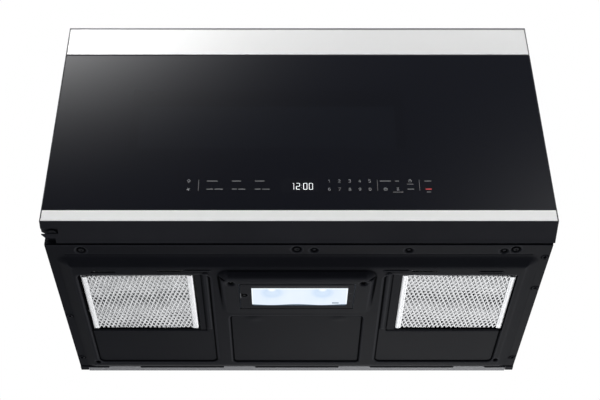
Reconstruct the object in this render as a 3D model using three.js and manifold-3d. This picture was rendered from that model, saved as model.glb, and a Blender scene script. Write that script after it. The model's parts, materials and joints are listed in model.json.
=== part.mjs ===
// An over-the-range microwave with a full-width glass door and a vent hood in its base.
// Millimetres, +Z up, +Y towards the wall, +X to the right as seen from the kitchen.
// The pieces are laid out from the middle of the depth and the plane of the base flange, and
// the whole group is then moved so that its origin lies on the back face of the wall plate.
import * as THREE from "three";
import { mergeVertices } from "three/addons/utils/BufferGeometryUtils.js";
import Module from "manifold-3d";

const wasm = await Module();
wasm.setup();

// ---------------------------------------------------------------- driving dimensions

const width = 759; // across the door and the vent panel
const height = 417.5; // base flange to the top of the case
const depth = 417.5; // door glass to the wall

const gap = 0.3; // between pieces that touch
const slack = 1; // around pieces that drop into a hole
const sheet = 1.2; // painted steel of the case and base
const liner = 1; // steel of the oven cavity
const glass = 4; // front glass
const caseInset = 2; // case side behind the door's edge
const mountHeight = 45; // origin on the wall plate, above the base flange
const circleSteps = 24;

// front
const doorThickness = 37;
const doorGap = 3; // door to the case
const doorTop = 353;
const frontLip = 1.5; // edge of the frames that shows around the glass
const topLip = 2.8; // the same, along the top of the vent panel
const panelGap = 1.8; // between the door and the vent panel
const glassGap = 0.8; // between the black glass and the white band
const bandBottom = 14.8;
const bandHeight = 19.6;
const chinFront = 14.2; // height of the door's lower front edge
const chinBreak = { back: 31, z: 3.6 };
const chinBack = 1.2; // height of the door's lower back edge
const frameWall = 8;
const frameSkin = 2.7;

// oven cavity
const cavity = { left: -width / 2 + 49.5, wide: 564, floor: 80, tall: 242, deep: depth - 55.5 };
const chokeWidth = 22; // seal band around the cavity mouth
const windowHole = {
  left: cavity.left + 68,
  right: cavity.left + cavity.wide - 70,
  bottom: 152,
  top: 276,
};

// door hinge and latch
const hingeIn = 16; // hinge pin from the door's left edge
const hingeBack = 22; // hinge pin behind the door's front face
const pinRadius = 3.5;
const pinSlack = 0.3;
const pinLength = 14;
const armThickness = 2.5;
const armWidth = 15;
const armRoom = 1; // above and below the hinge arm
const lowerArm = 8; // height of the lower hinge arm
const cornerCut = 14; // chamfer at the door's back left corner
const footHeight = 34;
const hookHeights = [168, 272];
const hookReach = 22;
const hookTall = 12;
const hookWide = 5;
const hookTravel = 4;

// base: a flange all round and a pan that bulges down inside it
const baseMiddle = -2; // middle of the stamped features from the middle of the case
const pan = {
  side: 13.5,
  front: 69,
  back: depth - 14.5,
  drop: 8.4,
  run: 16,
  backRun: 14,
  radius: 16,
  steps: 4,
};
const baseBack = depth - 13.5; // back edge of the base, from the door's front
const flankBack = depth - 5.5; // back edge of the case sides
const filterSide = 43.75; // filter's outer edge from the side of the door
const filterInner = 159.25; // filter's inner edge from the middle of the base
const filter = {
  x: (width / 2 - filterSide + filterInner) / 2,
  front: 108.5,
  wide: width / 2 - filterSide - filterInner,
  long: 161,
  thick: 8,
  rail: 9.5,
};
const filterSlack = 2; // around a filter in its opening
const filterLift = 1; // filter above the underside of its seat
const pivotIn = 3.5; // filter pivot from its front face
const pivotUp = 4; // filter pivot above its underside
const nub = 1.4; // radius of the filter's and lamp cover's pivot nubs
const nubLength = 3;
const ear = 1.5; // thickness of the ears around the nubs
const recess = { inner: 133.4, back: depth - 43.5, rise: 2, radius: 9 }; // shallow area around a filter
const seat = { inner: 145.2, rise: 1, radius: 4 }; // the step in it that a filter lies over
const middleRecess = { half: 108.5, front: 224, back: depth - 42.5, radius: 8 };
const lampBulge = { half: 121, backHalf: 117, front: 94, deepFront: 100, draft: 6, back: 217, drop: 10.6 };
const lampCover = { half: 88.5, long: 78.6, thick: 5, middle: 159.9, slack: 1.5 };
const lampLens = { half: 75.4, long: 64, shift: 4.2, back: 2.9, thick: 2.2 };
const lampScrew = { in: 6.5, y: -6 };
const lampHousing = { tall: 32, wall: 1.2, side: 6 };
const lampDimple = { x: 101.6, y: 118.5 };

// wall plate
const plateThick = 2;
const tabSide = width / 2 - 79.5;
const tabX = [-tabSide, -tabSide / 3, tabSide / 3, tabSide];
const tabWide = 53;
const tabFront = depth - 16.5; // tabs reach this far forward, from the door's front

// turntable
const trayRadius = cavity.deep / 2 - 9;
const rollerRadius = 8;
const rollerWide = 7;
const trackRadius = 112;
const ringWide = 5;
const axleRadius = 1.6;
const couplerRadius = 15;
const shaftRadius = 4;
const motorRadius = 26;
const motorTall = 17;

// blower, exhaust and cooling fan
const damper = { half: 130, front: depth - 113.5, back: depth - 25.5, wall: 2, deep: 11, flap: 1.2 };
const flapDrop = 9; // flap below the case top
const ventScale = (height - cavity.floor - cavity.tall - 14.1) / 81.4; // room over the oven, 1 as built
const blower = {
  back: depth - 67.5,
  rise: 41.2 * ventScale, // its middle above the shelf
  inner: 38 * ventScale,
  outer: 44 * ventScale,
  motor: 30 * ventScale,
  motorLong: 64,
};
const wheel = { radius: 34 * ventScale, long: 78, rim: 7 * ventScale, blades: 14, hub: shaftRadius + 5 };
const bayScale = (width / 2 - cavity.left - cavity.wide - 4.8) / 140.7; // bay beside the oven, 1 as built
const fan = {
  z: cavity.floor + 20 + 58 * bayScale,
  radius: 46 * bayScale,
  duct: 50 * bayScale,
  size: 58 * bayScale,
  long: 24,
  back: depth - 45.5,
  hub: 15 * bayScale,
  blades: 7,
};

// ---------------------------------------------------------------- derived places

const front = -depth / 2;
const back = (d) => front + d; // a place d behind the door's front face
const half = width / 2;
const caseHalf = half - caseInset;
const caseFront = back(doorThickness + doorGap);
const cavityRight = cavity.left + cavity.wide;
const cavityTop = cavity.floor + cavity.tall;
const cavityBack = caseFront + sheet + gap + cavity.deep;
const cavityMiddle = cavity.left + cavity.wide / 2;
const hingeX = -half + hingeIn;
const hingeY = back(hingeBack);
const bandTop = bandBottom + bandHeight;
const panelBottom = doorTop + panelGap;
const panFace = -pan.drop; // underside of the pan
const recessFace = panFace + recess.rise;
const seatFace = recessFace + seat.rise;
const bayLeft = cavityRight + liner + gap;
const bayRight = caseHalf - sheet - gap;
const bayMiddle = (bayLeft + bayRight) / 2 + 2.35;
const hookX = bayLeft + 49.7 * bayScale;
const bayDeck = cavity.floor - liner - gap; // top of the floor under the electrical parts
const backPanelY = back(flankBack) - sheet;
const stiffener = 1; // height of the back panel's pressed ribs
const bayBack = backPanelY - stiffener - gap;

// ---------------------------------------------------------------- materials

const material = (color, roughness, metalness, extra = {}) =>
  new THREE.MeshStandardMaterial({ color, roughness, metalness, ...extra });
const finish = {
  paintedSteel: material(0x17181b, 0.45, 0.3),
  galvanised: material(0xa9abad, 0.45, 0.9),
  oven: material(0xc9cac6, 0.4, 0.2),
  plastic: material(0x1b1c1f, 0.5, 0),
  trim: material(0x55575a, 0.4, 0.4),
  blackGlass: material(0x101114, 0.08, 0),
  whiteGlass: material(0xe4e4e3, 0.12, 0),
  clearGlass: material(0xdfe9e6, 0.05, 0, { transparent: true, opacity: 0.4 }),
  lens: material(0xeaf4ff, 0.25, 0),
  aluminium: material(0xd5d7d9, 0.35, 0.9),
  copper: material(0xb06a3a, 0.4, 0.9),
  board: material(0x2f5d3a, 0.6, 0),
  whitePlastic: material(0xd9d9d4, 0.5, 0),
  charcoal: material(0x1d1d1d, 0.9, 0),
};

// ---------------------------------------------------------------- solids

function solid(geometry) {
  const plain = geometry.index ? geometry.toNonIndexed() : geometry.clone();
  plain.deleteAttribute("normal");
  plain.deleteAttribute("uv");
  const merged = mergeVertices(plain, 1e-4);
  const vertProperties = new Float32Array(merged.attributes.position.array);
  const triVerts = new Uint32Array(merged.index.array);
  return new wasm.Manifold(new wasm.Mesh({ numProp: 3, vertProperties, triVerts }));
}

function geometryOf(body) {
  const mesh = body.getMesh();
  const geometry = new THREE.BufferGeometry();
  geometry.setAttribute("position", new THREE.BufferAttribute(mesh.vertProperties, 3));
  geometry.setIndex(new THREE.BufferAttribute(mesh.triVerts, 1));
  const flat = geometry.toNonIndexed();
  flat.computeVertexNormals();
  return flat;
}

// A block between two places on each axis.
function block(x, y, z) {
  const size = [x[1] - x[0], y[1] - y[0], z[1] - z[0]];
  const geometry = new THREE.BoxGeometry(...size);
  return solid(geometry.translate((x[0] + x[1]) / 2, (y[0] + y[1]) / 2, (z[0] + z[1]) / 2));
}

// A cylinder, or a cone frustum with two radii, along an axis between two places on it.
function rod(axis, radii, span, centre, steps = circleSteps) {
  const [r0, r1] = Array.isArray(radii) ? radii : [radii, radii];
  const geometry = new THREE.CylinderGeometry(r1, r0, span[1] - span[0], steps);
  const middle = (span[0] + span[1]) / 2;
  if (axis === "x") geometry.rotateZ(-Math.PI / 2).translate(middle, centre[0], centre[1]);
  if (axis === "y") geometry.translate(centre[0], middle, centre[1]);
  if (axis === "z") geometry.rotateX(Math.PI / 2).translate(centre[0], centre[1], middle);
  return solid(geometry);
}

// An outline extruded along an axis. Its points are (y, z) for x, (x, z) for y and (x, y) for z.
function prism(points, axis, span) {
  const shape = new THREE.Shape(points.map(([a, b]) => new THREE.Vector2(a, b)));
  const length = span[1] - span[0];
  const geometry = new THREE.ExtrudeGeometry(shape, { depth: length, bevelEnabled: false });
  const turn = new THREE.Matrix4();
  if (axis === "x") turn.set(0, 0, 1, span[0], 1, 0, 0, 0, 0, 1, 0, 0, 0, 0, 0, 1);
  if (axis === "y") turn.set(1, 0, 0, 0, 0, 0, -1, span[1], 0, 1, 0, 0, 0, 0, 0, 1);
  if (axis === "z") turn.makeTranslation(0, 0, span[0]);
  return solid(geometry.applyMatrix4(turn));
}

// Points of a rectangle with rounded corners, anticlockwise.
function roundedRectangle(x0, x1, y0, y1, radius, steps = 4) {
  const corners = [
    [x1 - radius, y0 + radius, -90],
    [x1 - radius, y1 - radius, 0],
    [x0 + radius, y1 - radius, 90],
    [x0 + radius, y0 + radius, 180],
  ];
  const points = [];
  for (const [cx, cy, start] of corners)
    for (let i = 0; i <= steps; i++) {
      const angle = THREE.MathUtils.degToRad(start + (90 * i) / steps);
      points.push([cx + radius * Math.cos(angle), cy + radius * Math.sin(angle)]);
    }
  return points;
}

// A solid between two rings of as many points, each [x, y, z].
function loft(lower, upper) {
  const count = lower.length;
  const flat = [...lower, ...upper].flat();
  const geometry = new THREE.BufferGeometry();
  geometry.setAttribute("position", new THREE.Float32BufferAttribute(flat, 3));
  const index = [];
  for (let i = 0; i < count; i++) {
    const next = (i + 1) % count;
    index.push(i, next, count + next, i, count + next, count + i);
    if (i > 0 && i < count - 1) index.push(0, i + 1, i, count, count + i, count + i + 1);
  }
  geometry.setIndex(index);
  return solid(geometry);
}

const joined = (bodies) => bodies.reduce((whole, body) => whole.add(body));
const cut = (body, tools) => tools.reduce((rest, tool) => rest.subtract(tool), body);
const around = (count) => [...Array(count).keys()].map((i) => (360 * i) / count);
const turned = (body, degrees) => body.rotate([0, 0, degrees]);

function piece(parent, name, body, look) {
  const mesh = new THREE.Mesh(geometryOf(body), look);
  mesh.name = name;
  parent.add(mesh);
  return mesh;
}

function group(parent, x = 0, y = 0, z = 0) {
  const made = new THREE.Group();
  made.position.set(x, y, z);
  parent.add(made);
  return made;
}

const microwave = new THREE.Group();

// ---------------------------------------------------------------- hinge

// An arm that reaches out of the case to the hinge pin, with a foot behind the front frame.
// up is 1 where the pin points up into the door and -1 where it points down.
function hinge(armBottom, up) {
  const armTop = armBottom + armThickness;
  const reach = [hingeY, caseFront + sheet + gap + sheet];
  const sides = [hingeX - armWidth / 2, hingeX + armWidth / 2];
  const foot = up > 0 ? [armBottom, armBottom + footHeight] : [armTop - footHeight, armTop];
  const pin = up > 0 ? [armTop - gap, armTop + pinLength] : [armBottom - pinLength, armBottom + gap];
  return joined([
    block(sides, reach, [armBottom, armTop]),
    rod("z", armWidth / 2, [armBottom, armTop], [hingeX, hingeY]),
    block(sides, [reach[1] - sheet, reach[1]], foot),
    rod("z", pinRadius, pin, [hingeX, hingeY], 24),
  ]);
}
const upperArm = doorTop - lowerArm - armThickness;
const armSlot = (armBottom) =>
  block(
    [hingeX - armWidth / 2 - gap, hingeX + armWidth / 2 + gap],
    [caseFront - 1, caseFront + sheet + 1],
    [armBottom - gap, armBottom + armThickness + gap],
  );

// ---------------------------------------------------------------- cabinet

const cabinet = group(microwave);

function outerCase() {
  const y = [caseFront, back(flankBack)];
  const foot = sheet + gap;
  const shell = cut(block([-caseHalf, caseHalf], y, [foot, height]), [
    block([-caseHalf + sheet, caseHalf - sheet], [y[0] - 1, y[1] + 1], [0, height - sheet]),
  ]);
  const outlet = [
    [-damper.half - slack, damper.half + slack],
    [back(damper.front) - slack, back(damper.back) + slack],
  ];
  return cut(shell, [
    block(...outlet, [height - 2 * sheet, height + 1]),
    rod("z", gland.neck + gap, [height - 2 * sheet, height + 1], gland.at),
    ...cabinetBolts.map((at) => rod("z", 5, [height - 2 * sheet, height + 1], at, 20)),
  ]);
}
const gland = { neck: 12, flange: 17, at: [width / 2 - 49.5, back(depth - 45.5)], hole: 6 };
const cabinetBolts = [
  [-tabSide, back(110)],
  [tabSide, back(110)],
];
piece(cabinet, "outer_case", outerCase(), finish.paintedSteel);

function backPanel() {
  const sides = [-caseHalf + sheet + gap, caseHalf - sheet - gap];
  const plate = block(sides, [backPanelY, backPanelY + sheet], [plateThick + gap, height - sheet - gap]);
  const stiffeners = [-250, 0, 250].map((x) =>
    block([x - 30, x + 30], [backPanelY - stiffener, backPanelY + gap], [60, height - 70]),
  );
  return joined([plate, ...stiffeners]);
}
piece(cabinet, "back_panel", backPanel(), finish.galvanised);

function frontFrame() {
  const plate = block(
    [-caseHalf + sheet + gap, caseHalf - sheet - gap],
    [caseFront, caseFront + sheet],
    [sheet + gap, panelBottom],
  );
  const through = [caseFront - 1, caseFront + sheet + 1];
  const mouth = block([cavity.left, cavityRight], through, [cavity.floor, cavityTop]);
  const slots = hookHeights.map((z) =>
    block(
      [hookX - hookWide, hookX + hookWide],
      through,
      [z - hookTall / 2 - hookTravel - 1, z + hookTall / 2 + hookTravel + 1],
    ),
  );
  const floor = block([bayLeft, bayRight], [caseFront + sheet / 2, bayBack], [bayDeck - sheet, bayDeck]);
  return cut(plate, [mouth, ...slots, armSlot(lowerArm), armSlot(upperArm)]).add(floor);
}
piece(cabinet, "front_frame", frontFrame(), finish.paintedSteel);
piece(cabinet, "hinge_lower", hinge(lowerArm, 1), finish.galvanised);
piece(cabinet, "hinge_upper", hinge(upperArm, -1), finish.galvanised);

// ---------------------------------------------------------------- base

const tilt = Math.atan(lampBulge.drop / (lampBulge.back - lampBulge.deepFront));
const lampY = back(lampCover.middle);
const lampFaceAt = (d) => panFace - (lampBulge.back - d) * Math.tan(tilt);
const lampZ = lampFaceAt(lampCover.middle);
const inLampFrame = (body) =>
  body.rotate([THREE.MathUtils.radToDeg(tilt), 0, 0]).translate([baseMiddle, lampY, lampZ]);

// The pan: its outside, or its inside when moved up by the sheet.
function panSolid(up) {
  const inset = up / 2;
  const reach = caseHalf - pan.side - inset;
  const top = roundedRectangle(
    -reach,
    reach,
    back(pan.front) + inset,
    back(pan.back) - inset,
    pan.radius,
    pan.steps,
  );
  const bottom = roundedRectangle(
    -reach + pan.run,
    reach - pan.run,
    back(pan.front) + inset + pan.run,
    back(pan.back) - inset - pan.backRun,
    pan.radius / 2,
    pan.steps,
  );
  return loft(
    bottom.map(([x, y]) => [x, y, panFace + up]),
    top.map(([x, y]) => [x, y, gap + up]),
  );
}

// The lamp's wedge, deep in front and level with the pan at its back.
function lampWedge(up) {
  const inset = up / 2;
  const { half: side, backHalf, front: near, deepFront, draft, back: far } = lampBulge;
  const narrowed = (y) => ((side - backHalf) * (y - back(near))) / (far - near);
  const outline = (reach, from) =>
    roundedRectangle(-reach + inset, reach - inset, back(from) + inset, back(far) - inset, 12, 4);
  const sides = (y, x) => x - Math.sign(x) * narrowed(y) + baseMiddle;
  const top = outline(side, near).map(([x, y]) => [sides(y, x), y, panFace + gap + up]);
  const bottom = outline(side - draft, deepFront).map(([x, y]) => [
    baseMiddle + x,
    y,
    Math.min(panFace, lampFaceAt(y - front)) - 0.02 + up,
  ]);
  return loft(bottom, top);
}

const filterY = [back(filter.front), back(filter.front + filter.long)];
const filterZ = seatFace + filterLift;
const filterPivot = [filterY[0] + pivotIn, filterZ + pivotUp];
const filterX = (side) => baseMiddle + side * filter.x;
const openingHalf = filter.wide / 2 + filterSlack;
const openingFront = filterY[0] - 2.5;
const lampPivot = { x: lampCover.half - 5, z: sheet + 2 * gap + nub };

function filterHole(side) {
  const x = [filterX(side) - openingHalf, filterX(side) + openingHalf];
  return block(x, [openingFront, filterY[1] + filterSlack], [panFace - 1, seatFace + sheet + 1]);
}

// Ears that stand on the base beside a filter and hold its pivot nubs.
function filterEars(side) {
  return [-1, 1].map((end) => {
    const inner = filterX(side) + end * (openingHalf + gap);
    const outer = inner + end * ear;
    const x = [Math.min(inner, outer), Math.max(inner, outer)];
    const y = [filterPivot[0] - 4, filterPivot[0] + 4];
    const plate = block(x, y, [seatFace + gap, filterPivot[1] + 4]);
    return cut(plate, [rod("x", nub + gap, [x[0] - 1, x[1] + 1], filterPivot, 16)]);
  });
}

// Ears in front of and behind the lamp cover, in the lamp's tilted frame.
function lampEars() {
  return [-1, 1].map((end) => {
    const inner = end * (lampCover.long / 2 + lampCover.slack + gap);
    const outer = inner + end * ear;
    const y = [Math.min(inner, outer), Math.max(inner, outer)];
    const x = [lampPivot.x - 4, lampPivot.x + 4];
    const plate = block(x, y, [gap, lampPivot.z + 4]);
    const bore = rod("y", nub + gap, [y[0] - 1, y[1] + 1], [lampPivot.x, lampPivot.z], 16);
    return inLampFrame(cut(plate, [bore]));
  });
}

// A rectangle of one side of the base, given from the base's middle outwards.
function sideArea(side, inner, outer, from, to, radius, z) {
  const x = [baseMiddle + side * inner, baseMiddle + side * outer].sort((a, b) => a - b);
  return prism(roundedRectangle(x[0], x[1], from, to, radius, 3), "z", z);
}

// The shallow areas pressed up into the pan, as solids grown by a wall and moved up by it.
function pressedAreas(wall) {
  const outer = filter.x + openingHalf + wall;
  const bottom = panFace + (wall ? gap : -1);
  const near = openingFront - wall;
  const recessBack = back(recess.back) + wall;
  const seatBack = filterY[1] + filterSlack + 4 + wall;
  const recessZ = [bottom, recessFace + wall];
  const seatZ = [bottom, seatFace + wall];
  const sides = [-1, 1].flatMap((side) => [
    sideArea(side, recess.inner - wall, outer, near, recessBack, recess.radius, recessZ),
    sideArea(side, seat.inner - wall, outer, near, seatBack, seat.radius, seatZ),
  ]);
  const reach = middleRecess.half + wall;
  const middle = prism(
    roundedRectangle(
      baseMiddle - reach,
      baseMiddle + reach,
      back(middleRecess.front) - wall,
      back(middleRecess.back) + wall,
      middleRecess.radius,
      3,
    ),
    "z",
    recessZ,
  );
  return [...sides, middle];
}

// Places on the base, from its own middle or from the case's, and from the door's front.
const slots = [
  { from: 131.5, to: 171, y: 94.5 },
  { from: 177, to: 214.5, y: 95 },
  { from: width / 2 - 100.5, to: width / 2 - 63.5, y: 98 },
];
const screwHoles = [
  [-width / 2 + 54.5, 54],
  [-3, 52],
  [width / 2 - 55.5, 52],
];
const dimples = [
  [23, 54],
  [164.5, 54.5],
  [width / 2 - 72.5, 56],
];
const sideScrews = [
  [-1, 237],
  [-1, depth - 46.5],
  [1, 71],
  [1, 155],
  [1, depth - 46.5],
];
const cornerHoles = [
  [-width / 2 + 37.5, depth - 43.5],
  [width / 2 - 39.5, depth - 50.5],
];

function basePlate() {
  const reach = caseHalf - gap;
  const through = [panFace - lampBulge.drop - 1, sheet + 1];
  const flange = block([-reach, reach], [caseFront, back(flankBack)], [0, sheet]);
  const backCut = block(
    [-caseHalf + pan.side, caseHalf - pan.side],
    [back(baseBack), back(flankBack) + 1],
    through,
  );
  const notches = tabX.map((x) =>
    block(
      [x - tabWide / 2 - slack, x + tabWide / 2 + slack],
      [back(tabFront) - gap, back(baseBack) + 1],
      through,
    ),
  );
  const outside = joined([flange, panSolid(0), lampWedge(0)]);
  const shell = cut(outside, [panSolid(sheet), lampWedge(sheet), backCut, ...notches]);
  const pressed = cut(joined([shell, ...pressedAreas(sheet)]), pressedAreas(0));
  const cones = [...screwHoles, ...dimples];
  const cone = (radii, z) => cones.map(([x, y]) => rod("z", radii, z, [x, back(y)], 14));
  const bores = screwHoles.map(([x, y]) => rod("z", 3, [1, 5], [x, back(y)], 12));
  const heads = sideScrews.map(([side, y]) =>
    rod("z", [2.4, 3], [-1, sheet / 2], [side * (caseHalf - 5.5), back(y)], 12),
  );
  const corners = cornerHoles.map(([x, y]) => rod("z", 2.2, through, [x, back(y)], 12));
  const slits = slots.flatMap(({ from, to, y }) =>
    [-1, 1].map((side) => sideArea(side, from, to, back(y) - 1.4, back(y) + 1.4, 1.2, through)),
  );
  const lampHole = block(
    [-lampCover.half - lampCover.slack, lampCover.half + lampCover.slack],
    [-lampCover.long / 2 - lampCover.slack, lampCover.long / 2 + lampCover.slack],
    [-4, 8],
  );
  const lampDents = [-1, 1].map((side) =>
    rod("z", 2.2, through, [baseMiddle + side * lampDimple.x, back(lampDimple.y)], 12),
  );
  const opened = cut(joined([pressed, ...cone([9, 6.5], [0.1, sheet + 2]), ...heads]), [
    ...cone([8, 5.5], [-0.1, 2]),
    ...bores,
    ...corners,
    ...slits,
    ...lampDents,
    inLampFrame(lampHole),
    filterHole(-1),
    filterHole(1),
  ]);
  return joined([opened, ...filterEars(-1), ...filterEars(1), ...lampEars()]);
}
piece(cabinet, "base_plate", basePlate(), finish.paintedSteel);

const baseScrewNames = ["base_screw_left", "base_screw_middle", "base_screw_right"];
screwHoles.forEach(([x, y], i) => {
  const at = [x, back(y)];
  const screw = joined([
    rod("z", [4.6, 5.2], [0.5, 1.7], at, 20),
    rod("z", 2.4, [1.6, 9], at, 16),
  ]);
  const cross = [block([-3, 3], [-0.5, 0.5], [0, 1.1]), block([-0.5, 0.5], [-3, 3], [0, 1.1])];
  const driven = cut(screw, cross.map((slot) => slot.translate([at[0], at[1], 0])));
  piece(cabinet, baseScrewNames[i], driven, finish.galvanised);
});

// ---------------------------------------------------------------- wall plate

function wallPlate() {
  const sides = caseHalf - pan.side;
  const wall = back(depth);
  const plate = block([-sides, sides], [wall - plateThick, wall], [0, height - 20]);
  const shelf = block([-sides, sides], [back(baseBack) + gap, wall], [0, plateThick]);
  const tabs = tabX.map((x) =>
    block([x - tabWide / 2, x + tabWide / 2], [back(tabFront), wall], [0, plateThick]),
  );
  const pads = [-width / 2 + 49.5, width / 2 - 49.5].map((x) =>
    block([x - 20, x + 20], [backPanelY + sheet + gap, wall], [height - 60, height - 30]),
  );
  const hollows = [-220, 0, 220].map((x) =>
    block([x - 75, x + 75], [wall - plateThick - 1, wall + 1], [90, height - 110]),
  );
  return joined([cut(plate, hollows), shelf, ...tabs, ...pads]);
}
piece(cabinet, "wall_plate", wallPlate(), finish.galvanised);

// ---------------------------------------------------------------- oven cavity and waveguide

const feed = { back: 225, wide: 70, bottom: 196, tall: 34 }; // waveguide opening in the right wall
const turntableY = (caseFront + sheet + gap + cavityBack) / 2;
const cavityFront = caseFront + sheet + gap;

function cavityBox() {
  const outer = block(
    [cavity.left - liner, cavityRight + liner],
    [cavityFront, cavityBack + liner],
    [cavity.floor - liner, cavityTop + liner],
  );
  const inner = block(
    [cavity.left, cavityRight],
    [cavityFront - 1, cavityBack],
    [cavity.floor, cavityTop],
  );
  const floorSpan = [cavity.floor - 3, cavity.floor + 1];
  const shaftHole = rod("z", shaftRadius + 2, floorSpan, [cavityMiddle, turntableY]);
  const feedHole = block(
    [cavityRight - 1, cavityRight + liner + 1],
    [back(feed.back) - feed.wide / 2, back(feed.back) + feed.wide / 2],
    [feed.bottom, feed.bottom + feed.tall],
  );
  return cut(outer, [inner, shaftHole, feedHole]);
}
piece(cabinet, "cavity_box", cavityBox(), finish.oven);

const guide = { side: 26 * bayScale, wide: 90, bottom: 184, tall: 130, wall: 1.2, lip: 6 };
const guideX = [bayLeft, bayLeft + guide.side];
const guideY = [back(feed.back) - guide.wide / 2, back(feed.back) + guide.wide / 2];
const guideZ = [guide.bottom, guide.bottom + guide.tall];
const tube = { radius: 9, z: guide.bottom + guide.tall - 32 }; // magnetron antenna

// A box that is open towards the oven, with a lip that is welded to the oven's right wall.
function waveguide() {
  const { wall, lip: edge } = guide;
  const hollow = block(
    [guideX[0] - 1, guideX[1] - wall],
    [guideY[0] + wall, guideY[1] - wall],
    [guideZ[0] + wall, guideZ[1] - wall],
  );
  const lip = block(
    [guideX[0], guideX[0] + wall],
    [guideY[0] - edge, guideY[1] + edge],
    [guideZ[0] - edge, guideZ[1] + edge],
  );
  const port = rod("x", tube.radius + 2, [guideX[1] - 3, guideX[1] + 1], [back(feed.back), tube.z]);
  return cut(block(guideX, guideY, guideZ).add(lip), [hollow, port]);
}
piece(cabinet, "waveguide", waveguide(), finish.galvanised);

const mica = 0.8;
piece(
  cabinet,
  "waveguide_cover",
  block(
    [cavityRight - gap - mica, cavityRight - gap],
    [back(feed.back) - feed.wide / 2 - 12, back(feed.back) + feed.wide / 2 + 12],
    [feed.bottom - 12, feed.bottom + feed.tall + 12],
  ),
  finish.whitePlastic,
);

// Magnetron: a yoke with cooling fins across it, a filter box, and the antenna in the waveguide.
const magnetron = { x: guideX[1] + gap, long: 66 * bayScale, deep: 78, tall: 62, fins: 6 };
function magnetronBody() {
  const x = [magnetron.x, magnetron.x + magnetron.long];
  const y = [back(feed.back) - magnetron.deep / 2, back(feed.back) + magnetron.deep / 2];
  const z = [tube.z - magnetron.tall / 2, tube.z + magnetron.tall / 2];
  const yoke = cut(block(x, y, z), [
    block([x[0] + 2, x[1] - 18], [y[0] - 1, y[1] + 1], [z[0] + 2, z[1] - 2]),
  ]);
  const pitch = (magnetron.long - 22) / magnetron.fins;
  const fins = [...Array(magnetron.fins).keys()].map((i) => {
    const start = x[0] + 4 + i * pitch;
    return block([start, start + 1], [y[0] + 2, y[1] - 2], [z[0] + gap, z[1] - gap]);
  });
  return joined([
    yoke,
    ...fins,
    rod("x", 19, [x[0] + 1, x[1] - 10], [back(feed.back), tube.z]),
    rod("x", tube.radius, [guideX[0] + 8, x[0] + 2], [back(feed.back), tube.z], 20),
  ]);
}
piece(cabinet, "magnetron", magnetronBody(), finish.aluminium);

// ---------------------------------------------------------------- electrical bay

const transformer = {
  x: bayMiddle,
  back: depth - 117.5,
  wide: 84 * bayScale,
  deep: 62,
  tall: 72,
  window: 15 * bayScale,
};
function transformerCore() {
  const { x, wide, deep, tall, window: hole } = transformer;
  const y = back(transformer.back);
  const foot = bayDeck + gap;
  const core = block([x - wide / 2, x + wide / 2], [y - deep / 2, y + deep / 2], [foot, foot + tall]);
  const plate = block([x - wide / 2 - 6, x + wide / 2 + 6], [y - deep / 2, y + deep / 2], [foot, foot + 2]);
  const windows = [-1, 1].map((side) => {
    const centre = x + (side * wide) / 4;
    const span = [centre - hole / 2, centre + hole / 2];
    return block(span, [y - deep / 2 - 1, y + deep / 2 + 1], [foot + 14, foot + tall - 12]);
  });
  return cut(core.add(plate), windows);
}
piece(cabinet, "transformer_core", transformerCore(), finish.trim);

function transformerCoil() {
  const { x, wide, deep, tall, window: hole } = transformer;
  const y = back(transformer.back);
  const z = [bayDeck + gap + 14 + gap, bayDeck + gap + tall - 12 - gap];
  const inner = wide / 4 - hole / 2 + gap;
  const outer = wide / 4 + hole / 2 - gap;
  const ring = (reach, over, radius) =>
    prism(roundedRectangle(x - reach, x + reach, y - deep / 2 - over, y + deep / 2 + over, radius), "z", z);
  const hollow = block([x - inner, x + inner], [y - deep / 2 - gap, y + deep / 2 + gap], [0, z[1] + 1]);
  return cut(ring(outer, outer - inner, 6), [hollow]);
}
piece(cabinet, "transformer_coil", transformerCoil(), finish.copper);

const can = { x: bayLeft + 46.7 * bayScale, back: depth - 212.5, wide: 34, deep: 52, tall: 86 };
function capacitor() {
  const y = back(can.back);
  const foot = bayDeck + gap;
  const outline = roundedRectangle(
    can.x - can.wide / 2,
    can.x + can.wide / 2,
    y - can.deep / 2,
    y + can.deep / 2,
    can.wide / 2 - 0.5,
    5,
  );
  const postSpan = [foot + can.tall - 1, foot + can.tall + 8];
  const posts = [-1, 1].map((side) => rod("z", 2.5, postSpan, [can.x, y + side * 12], 12));
  return joined([prism(outline, "z", [foot, foot + can.tall]), ...posts]);
}
piece(cabinet, "capacitor", capacitor(), finish.aluminium);

const boardZ = [118, 318];
function powerBoard() {
  const x = bayRight - gap;
  const y = [back(84), back(204)];
  const standoff = 8;
  const card = block([x - standoff - 1.6, x - standoff], y, boardZ);
  const posts = [0, 1].flatMap((i) =>
    [0, 1].map((j) =>
      rod("x", 3, [x - standoff - 0.5, x], [y[i] + (i ? -8 : 8), boardZ[j] + (j ? -8 : 8)], 12),
    ),
  );
  const face = x - standoff - 1;
  const parts = [
    block([face - 24, face], [y[0] + 14, y[0] + 50], [boardZ[0] + 20, boardZ[0] + 62]),
    block([face - 18, face], [y[1] - 36, y[1] - 14], [boardZ[0] + 24, boardZ[0] + 56]),
    block([face - 18, face], [y[1] - 36, y[1] - 14], [boardZ[0] + 70, boardZ[0] + 102]),
    block([face - 12, face], [y[0] + 12, y[0] + 52], [boardZ[1] - 30, boardZ[1] - 14]),
    rod("x", 9, [face - 26, face], [y[0] + 30, boardZ[0] + 96], 16),
  ];
  return joined([card, ...posts, ...parts]);
}
piece(cabinet, "power_board", powerBoard(), finish.board);

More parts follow.
